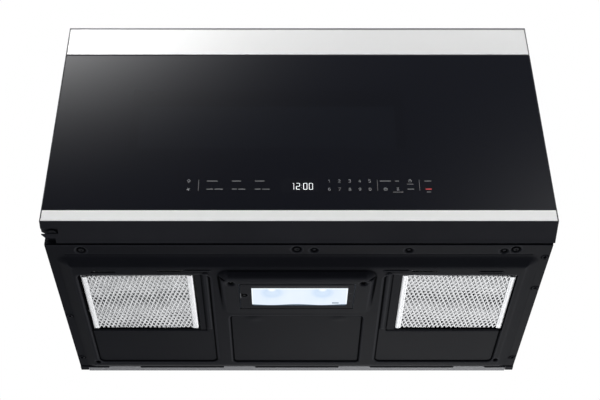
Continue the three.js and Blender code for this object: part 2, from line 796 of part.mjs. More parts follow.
// Latch housing behind the front frame, with a slot for each of the door's hooks.
const latch = { side: 14, deep: 40, wall: 3 };
const latchZ = [hookHeights[0] - 26, hookHeights[1] + 26];
function latchHousing() {
  const x = [hookX - latch.side, hookX + latch.side];
  const y = [cavityFront, cavityFront + latch.deep];
  const body = block(x, y, latchZ);
  const slots = hookHeights.map((z) =>
    block(
      [hookX - hookWide - 1, hookX + hookWide + 1],
      [y[0] - 1, y[1] - latch.wall],
      [z - hookTall / 2 - hookTravel - 2, z + hookTall / 2 + hookTravel + 2],
    ),
  );
  const relief = block(
    [x[0] - 1, x[1] - latch.wall],
    [y[0] + 6, y[1] + 1],
    [hookHeights[0] + 26, hookHeights[1] - 26],
  );
  return cut(body, [...slots, relief]);
}
piece(cabinet, "latch_housing", latchHousing(), finish.whitePlastic);

const microswitch = { wide: 10, deep: 20, tall: 28 };
const switchNames = ["interlock_switch_lower", "interlock_switch_upper"];
switchNames.forEach((name, i) => {
  const x = hookX + latch.side + gap;
  const z = hookHeights[i];
  const y = cavityFront + 12;
  const body = block(
    [x, x + microswitch.wide],
    [y, y + microswitch.deep],
    [z - microswitch.tall / 2, z + microswitch.tall / 2],
  );
  const terminalY = [y + microswitch.deep - 1, y + microswitch.deep + 8];
  const terminals = [-8, 0, 8].map((dz) =>
    block([x + 4, x + 5], terminalY, [z + dz - 2.5, z + dz + 2.5]),
  );
  piece(cabinet, name, joined([body, ...terminals]), finish.plastic);
});

function fanShroud() {
  const { z, duct, size, long, hub } = fan;
  const x = bayMiddle;
  const y = [back(fan.back), back(fan.back) + long];
  const plate = cut(block([x - size, x + size], y, [z - size, z + size]), [
    rod("y", duct, [y[0] - 1, y[1] + 1], [x, z], 40),
  ]);
  const arms = around(3).map((degrees) =>
    block([hub - 2, duct + 3], [y[1] - 6, y[1]], [-3, 3]).rotate([0, degrees, 0]).translate([x, 0, z]),
  );
  const motor = cut(rod("y", hub + 3, [y[1] - 12, y[1] + 1.5], [x, z], 24), [
    rod("y", 2.5, [y[1] - 13, y[1] - 2], [x, z], 12),
  ]);
  const foot = block([x - size, x + size], y, [bayDeck + gap, z - size + 1]);
  return joined([plate, ...arms, motor, foot]);
}
piece(cabinet, "fan_shroud", fanShroud(), finish.plastic);

function coolingFan() {
  const { z, radius, hub, long, blades } = fan;
  const x = bayMiddle;
  const y = back(fan.back) + 2;
  const thick = long - 12 - 4;
  const blade = block([hub - 2, radius], [-1, 1], [-11, 11]).rotate([34, 0, 0]);
  const turnedBlades = around(blades).map((degrees) =>
    blade.rotate([0, degrees, 0]).translate([x, y + thick / 2, z]),
  );
  const bladeDisc = rod("y", radius, [y, y + thick], [x, z], 40);
  const trimmed = joined(turnedBlades).intersect(bladeDisc);
  return joined([
    trimmed,
    rod("y", hub, [y, y + thick], [x, z]),
    rod("y", 2.2, [y, y + thick + 8], [x, z], 12),
  ]);
}
piece(group(microwave), "cooling_fan", coolingFan(), finish.plastic);

// ---------------------------------------------------------------- blower and exhaust

const shelfZ = cavityTop + liner + gap;
piece(
  cabinet,
  "blower_shelf",
  block([-caseHalf + sheet + gap, bayRight], [back(110), bayBack], [shelfZ, shelfZ + sheet]),
  finish.galvanised,
);

const blowerY = back(blower.back);
const shelfTop = shelfZ + sheet + gap;
const blowerZ = shelfTop + blower.rise;
const outletTop = height - damper.deep - gap;
const wheelStart = blower.motorLong / 2 + 8;

function blowerHousing(side) {
  const inside = wheelStart - 4;
  const outside = wheelStart + wheel.long + 4;
  const x = side > 0 ? [inside, outside] : [-outside, -inside];
  const y = [blowerY - blower.outer, back(damper.back) - 1];
  const shell = block(x, y, [shelfTop, outletTop]);
  const hollowX = [x[0] + 2, x[1] - 2];
  const hollow = rod("x", blower.inner, hollowX, [blowerY, blowerZ], 40);
  const outlet = block(hollowX, [blowerY - blower.inner, blowerY + 6], [blowerZ, outletTop + 1]);
  const inlet = rod("x", wheel.radius - 8 * ventScale, [x[0] - 1, x[1] + 1], [blowerY, blowerZ]);
  return cut(shell, [hollow, outlet, inlet]);
}
piece(cabinet, "blower_housing_left", blowerHousing(-1), finish.galvanised);
piece(cabinet, "blower_housing_right", blowerHousing(1), finish.galvanised);

function blowerMotor() {
  const span = [-blower.motorLong / 2, blower.motorLong / 2];
  const stand = block([-18, 18], [blowerY - 22, blowerY + 22], [shelfTop, blowerZ]);
  const bore = rod("x", shaftRadius + gap, [span[0] - 1, span[1] + 1], [blowerY, blowerZ], 20);
  return cut(rod("x", blower.motor, span, [blowerY, blowerZ]).add(stand), [bore]);
}
piece(cabinet, "blower_motor", blowerMotor(), finish.trim);

const rotor = group(microwave, 0, blowerY, blowerZ);
const shaftHalf = wheelStart + wheel.long - 6;
const blowerShaft = rod("x", shaftRadius, [-shaftHalf, shaftHalf], [0, 0], 20);
piece(rotor, "blower_shaft", blowerShaft, finish.galvanised);

// A squirrel cage wheel: blades between a hub disc and an end ring.
function blowerWheel(side) {
  const start = side > 0 ? wheelStart : -wheelStart - wheel.long;
  const span = [start, start + wheel.long];
  const middle = (span[0] + span[1]) / 2;
  const ring = (from, to) =>
    cut(rod("x", wheel.radius, [from, to], [0, 0]), [
      rod("x", wheel.radius - wheel.rim, [from - 1, to + 1], [0, 0]),
    ]);
  const blade = block(span, [-0.6, 0.6], [wheel.radius - wheel.rim - 0.5, wheel.radius - 0.5]);
  const blades = around(wheel.blades).map((degrees) => blade.rotate([degrees, 0, 0]));
  const disc = rod("x", wheel.radius, [middle - 1.2, middle + 1.2], [0, 0]);
  const hub = rod("x", wheel.hub, [middle - 8, middle + 8], [0, 0], 20);
  const bore = rod("x", shaftRadius + gap, [middle - 9, middle + 9], [0, 0], 20);
  const rings = [ring(span[0], span[0] + 2), ring(span[1] - 2, span[1])];
  return cut(joined([...rings, ...blades, disc, hub]), [bore]);
}
piece(rotor, "blower_wheel_left", blowerWheel(-1), finish.plastic);
piece(rotor, "blower_wheel_right", blowerWheel(1), finish.plastic);

const flapPivot = { y: back(damper.back) - damper.wall - 4, z: height - flapDrop };
function damperFrame() {
  const z = [height - damper.deep, height];
  const y = [back(damper.front), back(damper.back)];
  const inner = damper.half - damper.wall;
  const innerY = [y[0] + damper.wall, y[1] - damper.wall];
  const collar = cut(block([-damper.half, damper.half], y, z), [
    block([-inner, inner], innerY, [z[0] - 1, z[1] + 1]),
  ]);
  const bore = rod("x", nub + gap, [-damper.half - 1, damper.half + 1], [flapPivot.y, flapPivot.z], 16);
  return cut(collar, [bore]);
}
piece(cabinet, "damper_frame", damperFrame(), finish.galvanised);

function damperFlap() {
  const reach = damper.half - damper.wall - 0.5;
  const z = [flapPivot.z - damper.flap / 2, flapPivot.z + damper.flap / 2];
  const plate = block([-reach, reach], [back(damper.front) + damper.wall + 0.5, flapPivot.y], z);
  return plate.add(rod("x", nub, [-damper.half, damper.half], [flapPivot.y, flapPivot.z], 16));
}
piece(group(microwave), "damper_flap", damperFlap(), finish.galvanised);

function cordGland() {
  const z = [height - sheet - gap - 5, height - gap];
  const flange = rod("z", gland.flange, [z[0], height - sheet - gap], gland.at);
  const neck = rod("z", gland.neck, [z[0], z[1]], gland.at);
  return cut(flange.add(neck), [rod("z", gland.hole, [z[0] - 1, z[1] + 1], gland.at, 24)]);
}
piece(cabinet, "cord_gland", cordGland(), finish.plastic);

// ---------------------------------------------------------------- vent panel

const ventGlassTop = height - topLip;
const ventLip = 0.4; // frame under the vent glass
function ventFrame() {
  const y = [front, caseFront - gap];
  const shell = block([-half, half], y, [panelBottom, height]);
  const seat = block(
    [-half + frontLip, half - frontLip],
    [front - 1, front + glass + gap],
    [panelBottom + ventLip, ventGlassTop + gap],
  );
  const wall = 4;
  const hollow = block(
    [-half + wall, half - wall],
    [front + glass + gap + frameSkin, y[1] + 1],
    [panelBottom + wall, height - wall],
  );
  const slotCount = 26;
  const pitch = (width - 4 * wall) / slotCount;
  const slotY = [front + 15, caseFront - 8];
  const slots = [...Array(slotCount).keys()].map((i) => {
    const x = -half + 2 * wall + (i + 0.5) * pitch;
    return block([x - pitch / 2 + 3, x + pitch / 2 - 3], slotY, [height - wall - 1, height + 1]);
  });
  return cut(shell, [seat, hollow, ...slots]);
}
piece(cabinet, "vent_panel_frame", ventFrame(), finish.trim);

const ventGlass = block(
  [-half + frontLip + gap, half - frontLip - gap],
  [front, front + glass],
  [panelBottom + ventLip + gap, ventGlassTop],
);
piece(cabinet, "vent_panel_glass", ventGlass, finish.whiteGlass);

const charcoal = { half: 190, deep: 18 };
piece(
  cabinet,
  "charcoal_filter",
  block(
    [-charcoal.half, charcoal.half],
    [caseFront + 2, caseFront + 2 + charcoal.deep],
    [panelBottom + gap, height - sheet - gap],
  ),
  finish.charcoal,
);

// ---------------------------------------------------------------- door

const door = group(microwave);
const chin = [
  [front, chinFront],
  [back(chinBreak.back), chinBreak.z],
  [back(doorThickness), chinBack],
];
const doorBack = back(doorThickness);

function doorFrame() {
  const profile = [...chin, [doorBack, doorTop], [front, doorTop]];
  const shell = prism(profile, "x", [-half, half]);
  const seat = block(
    [-half + frontLip, half - frontLip],
    [front - 1, front + glass + gap],
    [bandBottom - gap, doorTop - frontLip + gap + 1],
  );
  const skin = front + glass + gap + frameSkin;
  const hollow = block(
    [-half + frameWall, half - frameWall],
    [skin, doorBack + 1],
    [chinFront + 4, doorTop - frameWall],
  );
  const view = block(
    [windowHole.left, windowHole.right],
    [front, skin + 1],
    [windowHole.bottom, windowHole.top],
  );
  const keys = block([controls.left, controls.right], [front, skin + 1], [controls.bottom, controls.top]);
  const cheek = [-half, -half + hingeIn + 12];
  const blocks = [
    block(cheek, [skin - 1, doorBack], [chinFront, lowerArm + armThickness + pinLength + 4]),
    block(cheek, [skin - 1, doorBack], [upperArm - pinLength - 4, doorTop - 1]),
  ];
  const armPocket = (armBottom) =>
    block(
      [-half - 1, hingeX + armWidth / 2 + 2],
      [hingeY - armWidth / 2 - 2, doorBack + 1],
      [armBottom - armRoom, armBottom + armThickness + armRoom],
    );
  const notch = block([-half - 1, hingeX + armWidth / 2 - 3], [back(29), doorBack + 1], [-1, lowerArm]);
  const corner = prism(
    [
      [-half - 1, doorBack - cornerCut - 1],
      [-half + cornerCut + 1, doorBack + 1],
      [-half - 1, doorBack + 1],
    ],
    "z",
    [-1, doorTop + 1],
  );
  const bores = [
    [lowerArm, lowerArm + armThickness + pinLength + 1],
    [upperArm - pinLength - 1, upperArm],
  ].map((span) => rod("z", pinRadius + pinSlack, span, [hingeX, hingeY], 24));
  const guides = hookHeights.flatMap((z) =>
    [-1, 1].map((side) => {
      const inner = hookX + side * (hookWide / 2 + gap);
      const outer = inner + side * guideThick;
      const x = [Math.min(inner, outer), Math.max(inner, outer)];
      return block(x, [skin - 1, leverY[1]], [z + 8, z + 30]);
    }),
  );
  return cut(joined([cut(shell, [seat, hollow, view, keys]), ...blocks, ...guides]), [
    armPocket(lowerArm),
    armPocket(upperArm),
    notch,
    corner,
    ...bores,
  ]);
}
const controls = { left: -180, right: 210, bottom: 58, top: 106 };
const guideThick = 3; // ribs on both sides of the latch lever
const leverY = [doorBack - 12, doorBack - 8];
piece(door, "door_frame", doorFrame(), finish.trim);

const glassSides = [-half + frontLip + gap, half - frontLip - gap];
const blackGlass = block(glassSides, [front, front + glass], [bandTop + glassGap, doorTop - gap]);
piece(door, "door_glass", blackGlass, finish.blackGlass);
const whiteBand = block(glassSides, [front, front + glass], [bandBottom, bandTop]);
piece(door, "door_band", whiteBand, finish.whiteGlass);

const display = { left: -31, right: 32, bottom: 67, top: 98 };
const cardY = [front + glass + gap, front + glass + gap + 1.4];
function touchBoard() {
  const inset = gap;
  const card = block(
    [controls.left + inset, controls.right - inset],
    cardY,
    [controls.bottom + inset, controls.top - inset],
  );
  const chips = [-120, 90, 160].map((x) => block([x - 9, x + 9], [cardY[1] - gap, cardY[1] + 2], [66, 78]));
  const clock = block(
    [display.left - 4, display.right + 4],
    [cardY[1] - gap, cardY[1] + 6],
    [display.bottom - 4, display.top + 4],
  );
  return joined([card, ...chips, clock]);
}
piece(door, "touch_board", touchBoard(), finish.board);

// Inner steel door: a shallow tray whose raised centre closes the cavity, with the choke slot
// around it.
const mouth = {
  x: [cavity.left - chokeWidth, cavityRight + chokeWidth],
  z: [cavity.floor - chokeWidth, cavityTop + chokeWidth - 6],
};
const panelY = doorBack - 2; // back face of the panel's edge
const slotWide = 16;
const slotDeep = 14;
function doorPanel() {
  const x = [-half + hingeIn + 12 + slack, hookX - hookWide - 6];
  const body = block(x, [panelY - slotDeep - 2, panelY], [mouth.z[0] - 8, mouth.z[1]]);
  const ring = (inset) => [
    [mouth.x[0] + inset, mouth.x[1] - inset],
    [mouth.z[0] + inset, mouth.z[1] - inset],
  ];
  const [outerX, outerZ] = ring(4);
  const [innerX, innerZ] = ring(4 + slotWide);
  const channel = cut(block(outerX, [panelY - slotDeep, panelY + 1], outerZ), [
    block(innerX, [panelY - slotDeep - 1, panelY + 2], innerZ),
  ]);
  const tray = block(
    [innerX[0] + 2, innerX[1] - 2],
    [panelY - slotDeep, panelY + 1],
    [innerZ[0] + 2, innerZ[1] - 2],
  );
  return cut(body, [channel, tray]);
}
piece(door, "door_panel", doorPanel(), finish.paintedSteel);

// Plastic cover over the choke slot, open at the window.
function chokeCover() {
  const y = [panelY + gap, doorBack];
  const opening = roundedRectangle(
    windowHole.left - 8,
    windowHole.right + 8,
    windowHole.bottom - 20,
    windowHole.top + 20,
    10,
  );
  const plate = block(
    [mouth.x[0] + 1, mouth.x[1] - 1],
    y,
    [mouth.z[0] + 1, mouth.z[1] - 1],
  );
  return cut(plate, [prism(opening, "y", [y[0] - 1, y[1] + 1])]);
}
piece(door, "choke_cover", chokeCover(), finish.plastic);

const innerPane = block(
  [windowHole.left - 16, windowHole.right + 16],
  [panelY - 3, panelY],
  [windowHole.bottom - 28, windowHole.top + 28],
);
piece(door, "inner_window", innerPane, finish.clearGlass);

// Latch lever in the door's right part, with two hooks that reach into the latch housing.
function latchLever() {
  const spineX = [hookX - hookWide / 2, hookX + hookWide / 2];
  const spine = block(spineX, leverY, [hookHeights[0] - 14, hookHeights[1] + 28]);
  const hooks = hookHeights.flatMap((z) => {
    const shank = block(spineX, [leverY[1] - gap, doorBack + hookReach], [z - 3, z + 3]);
    const barb = prism(
      [
        [doorBack + hookReach - 10, z - hookTall / 2],
        [doorBack + hookReach, z - 3],
        [doorBack + hookReach, z],
        [doorBack + hookReach - 10, z],
      ],
      "x",
      spineX,
    );
    return [shank, barb];
  });
  return joined([spine, ...hooks]);
}
piece(group(microwave), "latch_lever", latchLever(), finish.whitePlastic);

// ---------------------------------------------------------------- turntable

const turntable = group(microwave, cavityMiddle, turntableY, cavity.floor);
const trayBottom = 2 * rollerRadius + 2 * gap;

const motorTop = -liner - gap;
piece(
  turntable,
  "turntable_motor",
  cut(
    joined([
      rod("z", motorRadius, [motorTop - motorTall, motorTop], [0, 0]),
      block([-motorRadius - 9, motorRadius + 9], [-8, 8], [motorTop - 2, motorTop]),
    ]),
    [rod("z", shaftRadius + gap, [motorTop - 9, motorTop + 1], [0, 0], 20)],
  ),
  finish.galvanised,
);

function coupler() {
  const lobes = around(3).map((degrees) =>
    turned(block([0, couplerRadius], [-3.5, 3.5], [1.5, trayBottom + 4]), degrees),
  );
  return joined([
    rod("z", shaftRadius, [motorTop - 8, 3], [0, 0], 20),
    rod("z", 9, [1.5, trayBottom - gap], [0, 0], 24),
    cut(joined(lobes), [rod("z", couplerRadius + 9, [trayBottom - gap, trayBottom + 9], [0, 0])]),
  ]);
}
piece(turntable, "turntable_coupler", coupler(), finish.whitePlastic);

function glassTray() {
  const thick = 5;
  const rim = 12;
  const points = [
    [0, trayBottom],
    [trayRadius - 12, trayBottom],
    [trayRadius, trayBottom + rim - 3],
    [trayRadius, trayBottom + rim],
    [trayRadius - 3, trayBottom + rim],
    [trayRadius - 14, trayBottom + thick],
    [0, trayBottom + thick],
  ];
  const profile = points.map(([r, z]) => new THREE.Vector2(r, z));
  const dish = solid(new THREE.LatheGeometry(profile, 64).rotateX(Math.PI / 2));
  const lugs = around(3).map((degrees) =>
    turned(block([10, couplerRadius], [-3, 3], [trayBottom - 6, trayBottom + 1]), degrees + 60),
  );
  return joined([dish, ...lugs]);
}
piece(turntable, "glass_tray", glassTray(), finish.clearGlass);

const rollerZ = rollerRadius + gap;
const ringOuter = trackRadius - rollerWide / 2 - 1;
function rollerRing() {
  const band = cut(rod("z", ringOuter, [rollerZ - 2, rollerZ + 2], [0, 0], 48), [
    rod("z", ringOuter - ringWide, [rollerZ - 3, rollerZ + 3], [0, 0], 48),
  ]);
  const pin = rod("x", axleRadius, [ringOuter - 1, trackRadius + rollerWide / 2 + 1.5], [0, rollerZ], 12);
  const pins = around(3).map((degrees) => turned(pin, degrees));
  const thin = [rollerZ - 1.5, rollerZ + 1.5];
  const spoke = block([couplerRadius + 6, ringOuter - 1], [-2.5, 2.5], thin);
  const spokes = around(3).map((degrees) => turned(spoke, degrees));
  const hub = cut(rod("z", couplerRadius + 8, thin, [0, 0]), [
    rod("z", couplerRadius + 2, [rollerZ - 3, rollerZ + 3], [0, 0]),
  ]);
  return joined([band, hub, ...pins, ...spokes]);
}
piece(turntable, "roller_ring", rollerRing(), finish.whitePlastic);

around(3).forEach((degrees, i) => {
  const spoke = group(turntable);
  spoke.rotation.z = THREE.MathUtils.degToRad(degrees);
  const tyre = cut(
    rod("x", rollerRadius, [trackRadius - rollerWide / 2, trackRadius + rollerWide / 2], [0, rollerZ], 24),
    [rod("x", axleRadius + gap, [trackRadius - rollerWide, trackRadius + rollerWide], [0, rollerZ], 12)],
  );
  piece(spoke, "roller_" + (i + 1), tyre, finish.whitePlastic);
});

// ---------------------------------------------------------------- grease filters

function greaseFilter(name, side) {
  const body = group(microwave, filterX(side), filterY[0], filterZ);
  const reach = filter.wide / 2;
  const rails = [-1, 1].map((end) => {
    const edge = end * reach;
    const inner = end * (reach - filter.rail);
    const channel = block(
      [Math.min(edge, inner), Math.max(edge, inner)],
      [0, filter.long],
      [0, filter.thick],
    );
    const bed = block(
      [Math.min(edge - end * 1.2, inner - end), Math.max(edge - end * 1.2, inner - end)],
      [1, filter.long - 1],
      [1, filter.thick - 1],
    );
    return cut(channel, [bed]);
  });
  const ties = [
    [0, 1.5],
    [filter.long - 1.5, filter.long],
  ].map((y) => block([-reach + 1, reach - 1], y, [filter.thick - 2, filter.thick]));
  const nubs = [-1, 1].map((end) => {
    const span = [end * (reach - 1), end * (reach + nubLength)].sort((a, b) => a - b);
    return rod("x", nub, span, [pivotIn, pivotUp], 16);
  });
  piece(body, name + "_frame", joined([...rails, ...ties, ...nubs]), finish.aluminium);
  const mesh = block(
    [-reach + 1.2 + gap, reach - 1.2 - gap],
    [1.5 + gap, filter.long - 1.5 - gap],
    [1 + gap, filter.thick - 1 - gap],
  );
  piece(body, name + "_mesh", mesh, finish.aluminium);
}
greaseFilter("grease_filter_left", -1);
greaseFilter("grease_filter_right", 1);

// ---------------------------------------------------------------- cooktop lamp

const lamp = group(microwave, baseMiddle, lampY, lampZ);
lamp.rotation.x = tilt;

const lampScrewAt = [-lampCover.half + lampScrew.in, lampScrew.y];
function lampCoverBody() {
  const { half: side, long, thick } = lampCover;
  const plate = prism(roundedRectangle(-side, side, -long / 2, long / 2, 2, 2), "z", [0, thick]);
  const lensHole = prism(
    roundedRectangle(
      lampLens.shift - lampLens.half,
      lampLens.shift + lampLens.half,
      -lampLens.long / 2 - lampLens.back,
      lampLens.long / 2 - lampLens.back,
      5,
    ),
    "z",
    [-1, thick + 1],
  );
  const nubs = [-1, 1].map((end) => {
    const span = [end * (long / 2 - 2), end * (long / 2 + nubLength)].sort((a, b) => a - b);
    return rod("y", nub, span, [lampPivot.x, lampPivot.z], 12);
  });
  const screwHole = rod("z", 2.4, [-1, thick + 1], lampScrewAt, 16);
  const screwSeat = rod("z", 4.6, [-1, 1.2], lampScrewAt, 20);
  return cut(joined([plate, ...nubs]), [lensHole, screwHole, screwSeat]);
}
piece(lamp, "lamp_cover", lampCoverBody(), finish.paintedSteel);

piece(
  lamp,
  "lamp_lens",
  prism(
    roundedRectangle(
      lampLens.shift - lampLens.half + gap,
      lampLens.shift + lampLens.half - gap,
      -lampLens.long / 2 - lampLens.back + gap,
      lampLens.long / 2 - lampLens.back - gap,
      5 - gap,
    ),
    "z",
    [0.4, 0.4 + lampLens.thick],
  ),
  finish.lens,
);

piece(
  lamp,
  "lamp_screw",
  joined([
    rod("z", 4.2, [0, 0.9], lampScrewAt, 20),
    rod("z", 2, [0.5, lampCover.thick + 2], lampScrewAt, 16),
  ]),
  finish.galvanised,
);

// Reflector box over the lens, standing on the base around the lamp hole.
const housingFoot = lampCover.thick + 4.5;
function lampHousingBody() {
  const x = lampCover.half + lampHousing.side;
  const y = lampCover.long / 2 + lampHousing.side;
  const z = [sheet + gap + 0.2, housingFoot + lampHousing.tall];
  const shell = block([-x, x], [-y, y], z);
  const hollow = block(
    [-x + lampHousing.wall, x - lampHousing.wall],
    [-y + lampHousing.wall, y - lampHousing.wall],
    [-1, z[1] - lampHousing.wall],
  );
  return cut(shell, [hollow]);
}
piece(lamp, "lamp_housing", lampHousingBody(), finish.galvanised);

function ledBoard() {
  const top = housingFoot + lampHousing.tall - lampHousing.wall - gap;
  const card = block([-70, 70], [-22, 22], [top - 1.6, top]);
  const domes = [-40, 40].map((x) => rod("z", [6, 9], [top - 7, top - 1], [x, 0], 20));
  return joined([card, ...domes]);
}
piece(lamp, "led_board", ledBoard(), finish.whitePlastic);

microwave.position.set(0, -depth / 2, -mountHeight);

export default microwave;
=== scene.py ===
# Looks of an over-the-range microwave: finishes, fine surfaces, light and camera.
# Lengths are written in millimetres in the layout of the part: x from the middle to the right,
# d behind the door's front face, and h above the flange of the base.
import json
import math

import bmesh
import bpy
import numpy as np
from mathutils import Matrix, Vector

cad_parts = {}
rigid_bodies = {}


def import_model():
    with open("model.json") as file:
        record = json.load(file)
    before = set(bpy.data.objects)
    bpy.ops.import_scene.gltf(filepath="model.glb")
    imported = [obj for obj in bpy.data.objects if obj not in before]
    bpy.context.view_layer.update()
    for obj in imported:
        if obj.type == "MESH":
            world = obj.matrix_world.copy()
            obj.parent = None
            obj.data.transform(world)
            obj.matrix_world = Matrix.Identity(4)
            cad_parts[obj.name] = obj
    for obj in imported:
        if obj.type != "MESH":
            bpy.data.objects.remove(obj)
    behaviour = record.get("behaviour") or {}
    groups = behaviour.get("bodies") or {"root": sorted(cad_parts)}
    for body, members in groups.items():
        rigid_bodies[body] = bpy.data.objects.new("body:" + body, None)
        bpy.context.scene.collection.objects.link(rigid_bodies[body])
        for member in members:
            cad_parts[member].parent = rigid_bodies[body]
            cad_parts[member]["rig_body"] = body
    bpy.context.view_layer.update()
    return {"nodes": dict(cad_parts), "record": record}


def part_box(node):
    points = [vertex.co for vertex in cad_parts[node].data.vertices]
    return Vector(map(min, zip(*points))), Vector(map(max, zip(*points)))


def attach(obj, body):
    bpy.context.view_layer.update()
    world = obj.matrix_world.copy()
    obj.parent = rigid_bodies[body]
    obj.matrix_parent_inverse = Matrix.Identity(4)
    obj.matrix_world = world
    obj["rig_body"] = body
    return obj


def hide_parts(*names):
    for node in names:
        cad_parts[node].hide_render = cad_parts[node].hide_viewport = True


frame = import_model()

# ---------------------------------------------------------------- layout

MM = 0.001
DEPTH = 417.5  # door's front face to the wall
MOUNT = 45.0  # origin above the flange of the base
CASE_FRONT = 40.0
CASE_BACK = 412.0
SHEET = 1.2
BASE_MIDDLE = -2.0
LENS_BACK = 185.6
LENS_FRONT = 132.4
LENS_SIDES = (-72.4, 76.8)
LENS_SPOTS = (-40.7, 37.7)
LENS_MARK = ((53.5, 64), (178.5, 183.0))
COVER_HALF = 88.5
COVER_SCREW = (-84.0, 154.5)
HINGE_MARKS = (148.5, 173.5)
PANEL_EDGE = 1.8
BEND = "bend"  # the attribute that says how sharply the base bends
EDGE_FROM = 378.6  # beyond this the door's frame shows only its bright side edge


def at(x, d, h):
    return Vector((x * MM, (d - DEPTH) * MM, (h - MOUNT) * MM))


def layout_box(node):
    """The lowest and highest x, d and h of a CAD node."""
    low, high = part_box(node)
    shift = Vector((0, DEPTH, MOUNT))
    return low / MM + shift, high / MM + shift


def body_of(node):
    return frame["nodes"][node]["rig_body"]


SLOTS = {s["node"]: s["material_slot"] for s in frame["record"]["subparts"]}


# ---------------------------------------------------------------- node materials


class Nodes:
    """A node tree, with short ways to add nodes and join them."""

    def __init__(self, tree):
        self.tree = tree

    def add(self, kind, **values):
        node = self.tree.nodes.new(kind)
        for key, value in values.items():
            setattr(node, key, value)
        return node

    def link(self, source, target):
        self.tree.links.new(source, target)

    def math(self, operation, first, second=0.0, clamp=False):
        node = self.add("ShaderNodeMath", operation=operation, use_clamp=clamp)
        for socket, value in zip(node.inputs, (first, second)):
            if isinstance(value, bpy.types.NodeSocket):
                self.link(value, socket)
            else:
                socket.default_value = value
        return node.outputs[0]


class Finish(Nodes):
    """A material made of nodes around one Principled shader."""

    def __init__(self, name, **values):
        self.material = bpy.data.materials.new(name)
        self.material.use_nodes = True
        super().__init__(self.material.node_tree)
        self.shader = self.tree.nodes["Principled BSDF"]
        self.place = self.add("ShaderNodeTexCoord").outputs["Object"]
        for socket, value in values.items():
            self.shader.inputs[socket.replace("_", " ")].default_value = value

    def feed(self, socket, source):
        self.link(source, self.shader.inputs[socket])

    def overlay(self, socket, factor, value):
        """Mixes a value into what already feeds an input of the shader."""
        plain = self.shader.inputs[socket].links[0].from_socket
        self.feed(socket, self.mixed(factor, plain, value))

    def distance(self, place, target):
        node = self.add("ShaderNodeVectorMath", operation="DISTANCE")
        self.link(place, node.inputs[0])
        node.inputs[1].default_value = target
        return node.outputs["Value"]

    def stretched(self, x, y, z):
        """The place on the object, scaled along each axis."""
        node = self.add("ShaderNodeMapping")
        node.inputs["Scale"].default_value = (x, y, z)
        self.link(self.place, node.inputs["Vector"])
        return node.outputs["Vector"]

    def noise(self, scale, detail=3.0, roughness=0.55, vector=None):
        node = self.add("ShaderNodeTexNoise")
        node.inputs["Scale"].default_value = scale
        node.inputs["Detail"].default_value = detail
        node.inputs["Roughness"].default_value = roughness
        self.link(vector or self.place, node.inputs["Vector"])
        return node.outputs["Fac"]

    def cells(self, scale, output="Distance", feature="F1", vector=None):
        node = self.add("ShaderNodeTexVoronoi", feature=feature)
        node.inputs["Scale"].default_value = scale
        self.link(vector or self.place, node.inputs["Vector"])
        return node.outputs[output]

    def ramp(self, factor, stops, target=None):
        node = self.add("ShaderNodeValToRGB")
        ramp = node.color_ramp
        while len(ramp.elements) < len(stops):
            ramp.elements.new(0.5)
        for element, (position, colour) in zip(ramp.elements, stops):
            element.position = position
            grey = isinstance(colour, (int, float))
            element.color = (colour, colour, colour, 1) if grey else (*colour, 1)
        self.link(factor, node.inputs["Fac"])
        if target:
            self.feed(target, node.outputs["Color"])
        return node.outputs["Color"]

    def mixed(self, factor, first, second):
        """A mix of two colours, through the sockets that a mix node has for colours."""
        node = self.add("ShaderNodeMix", data_type="RGBA")
        for socket, value in ((0, factor), (6, first), (7, second)):
            if isinstance(value, tuple):
                node.inputs[socket].default_value = (*value, 1)
            else:
                self.link(value, node.inputs[socket])
        return node.outputs[2]

    def axis(self, name):
        node = self.add("ShaderNodeSeparateXYZ")
        self.link(self.place, node.inputs[0])
        return node.outputs[name]

    def inside(self, name, low, high):
        """1 between two places along an axis, else 0."""
        value = self.axis(name)
        above = self.math("GREATER_THAN", value, low)
        below = self.math("LESS_THAN", value, high)
        return self.math("MULTIPLY", above, below)

    def bump(self, height, strength, distance):
        node = self.add("ShaderNodeBump")
        node.inputs["Strength"].default_value = strength
        node.inputs["Distance"].default_value = distance
        self.link(height, node.inputs["Height"])
        self.link(node.outputs["Normal"], self.shader.inputs["Normal"])


def varied(name, dark, light, scale, rough, bump=(800, 0.1, 0.0002), **values):
    """A finish whose colour and roughness drift over the surface, with a fine grain."""
    finish = Finish(name, **values)
    drift = finish.noise(scale, 4)
    finish.ramp(drift, [(0.3, dark), (0.7, light)], "Base Color")
    finish.ramp(drift, [(0.3, rough[0]), (0.7, rough[1])], "Roughness")
    grain, strength, distance = bump
    finish.bump(finish.noise(grain, 2), strength, distance)
    return finish


def black_paint(name):
    values = {"Specular_IOR_Level": 0.02}
    dark, light = (0.0036, 0.0041, 0.0060), (0.0045, 0.0050, 0.0072)
    return varied(name, dark, light, 9, (0.46, 0.5), (1400, 0.08, 0.0001), **values)


def recoloured(finish, factor, colour):
    finish.overlay("Base Color", factor, colour)


def paint_shade(finish, factor):
    """Paints shade: takes the colour and the gloss away, as in the shade of a deep crease."""
    recoloured(finish, factor, (0.0006, 0.0007, 0.0010))
    finish.overlay("Roughness", factor, (1, 1, 1))


def paint_with_painted_bend_light():
    """Black paint with a painted highlight on outward bends and painted shade in the creases."""
    finish = black_paint("paint_with_painted_bend_light")
    bend = finish.add("ShaderNodeAttribute", attribute_name=BEND).outputs["Fac"]
    crease = finish.math("MULTIPLY", bend, -1.0)
    # Painted highlight on outward bends.
    recoloured(finish, finish.ramp(bend, [(0.12, 0.0), (0.65, 1.0)]), (0.0130, 0.0136, 0.0170))
    # Painted shade in the creases.
    paint_shade(finish, finish.ramp(crease, [(0.25, 0.0), (0.8, 0.95)]))
    return finish


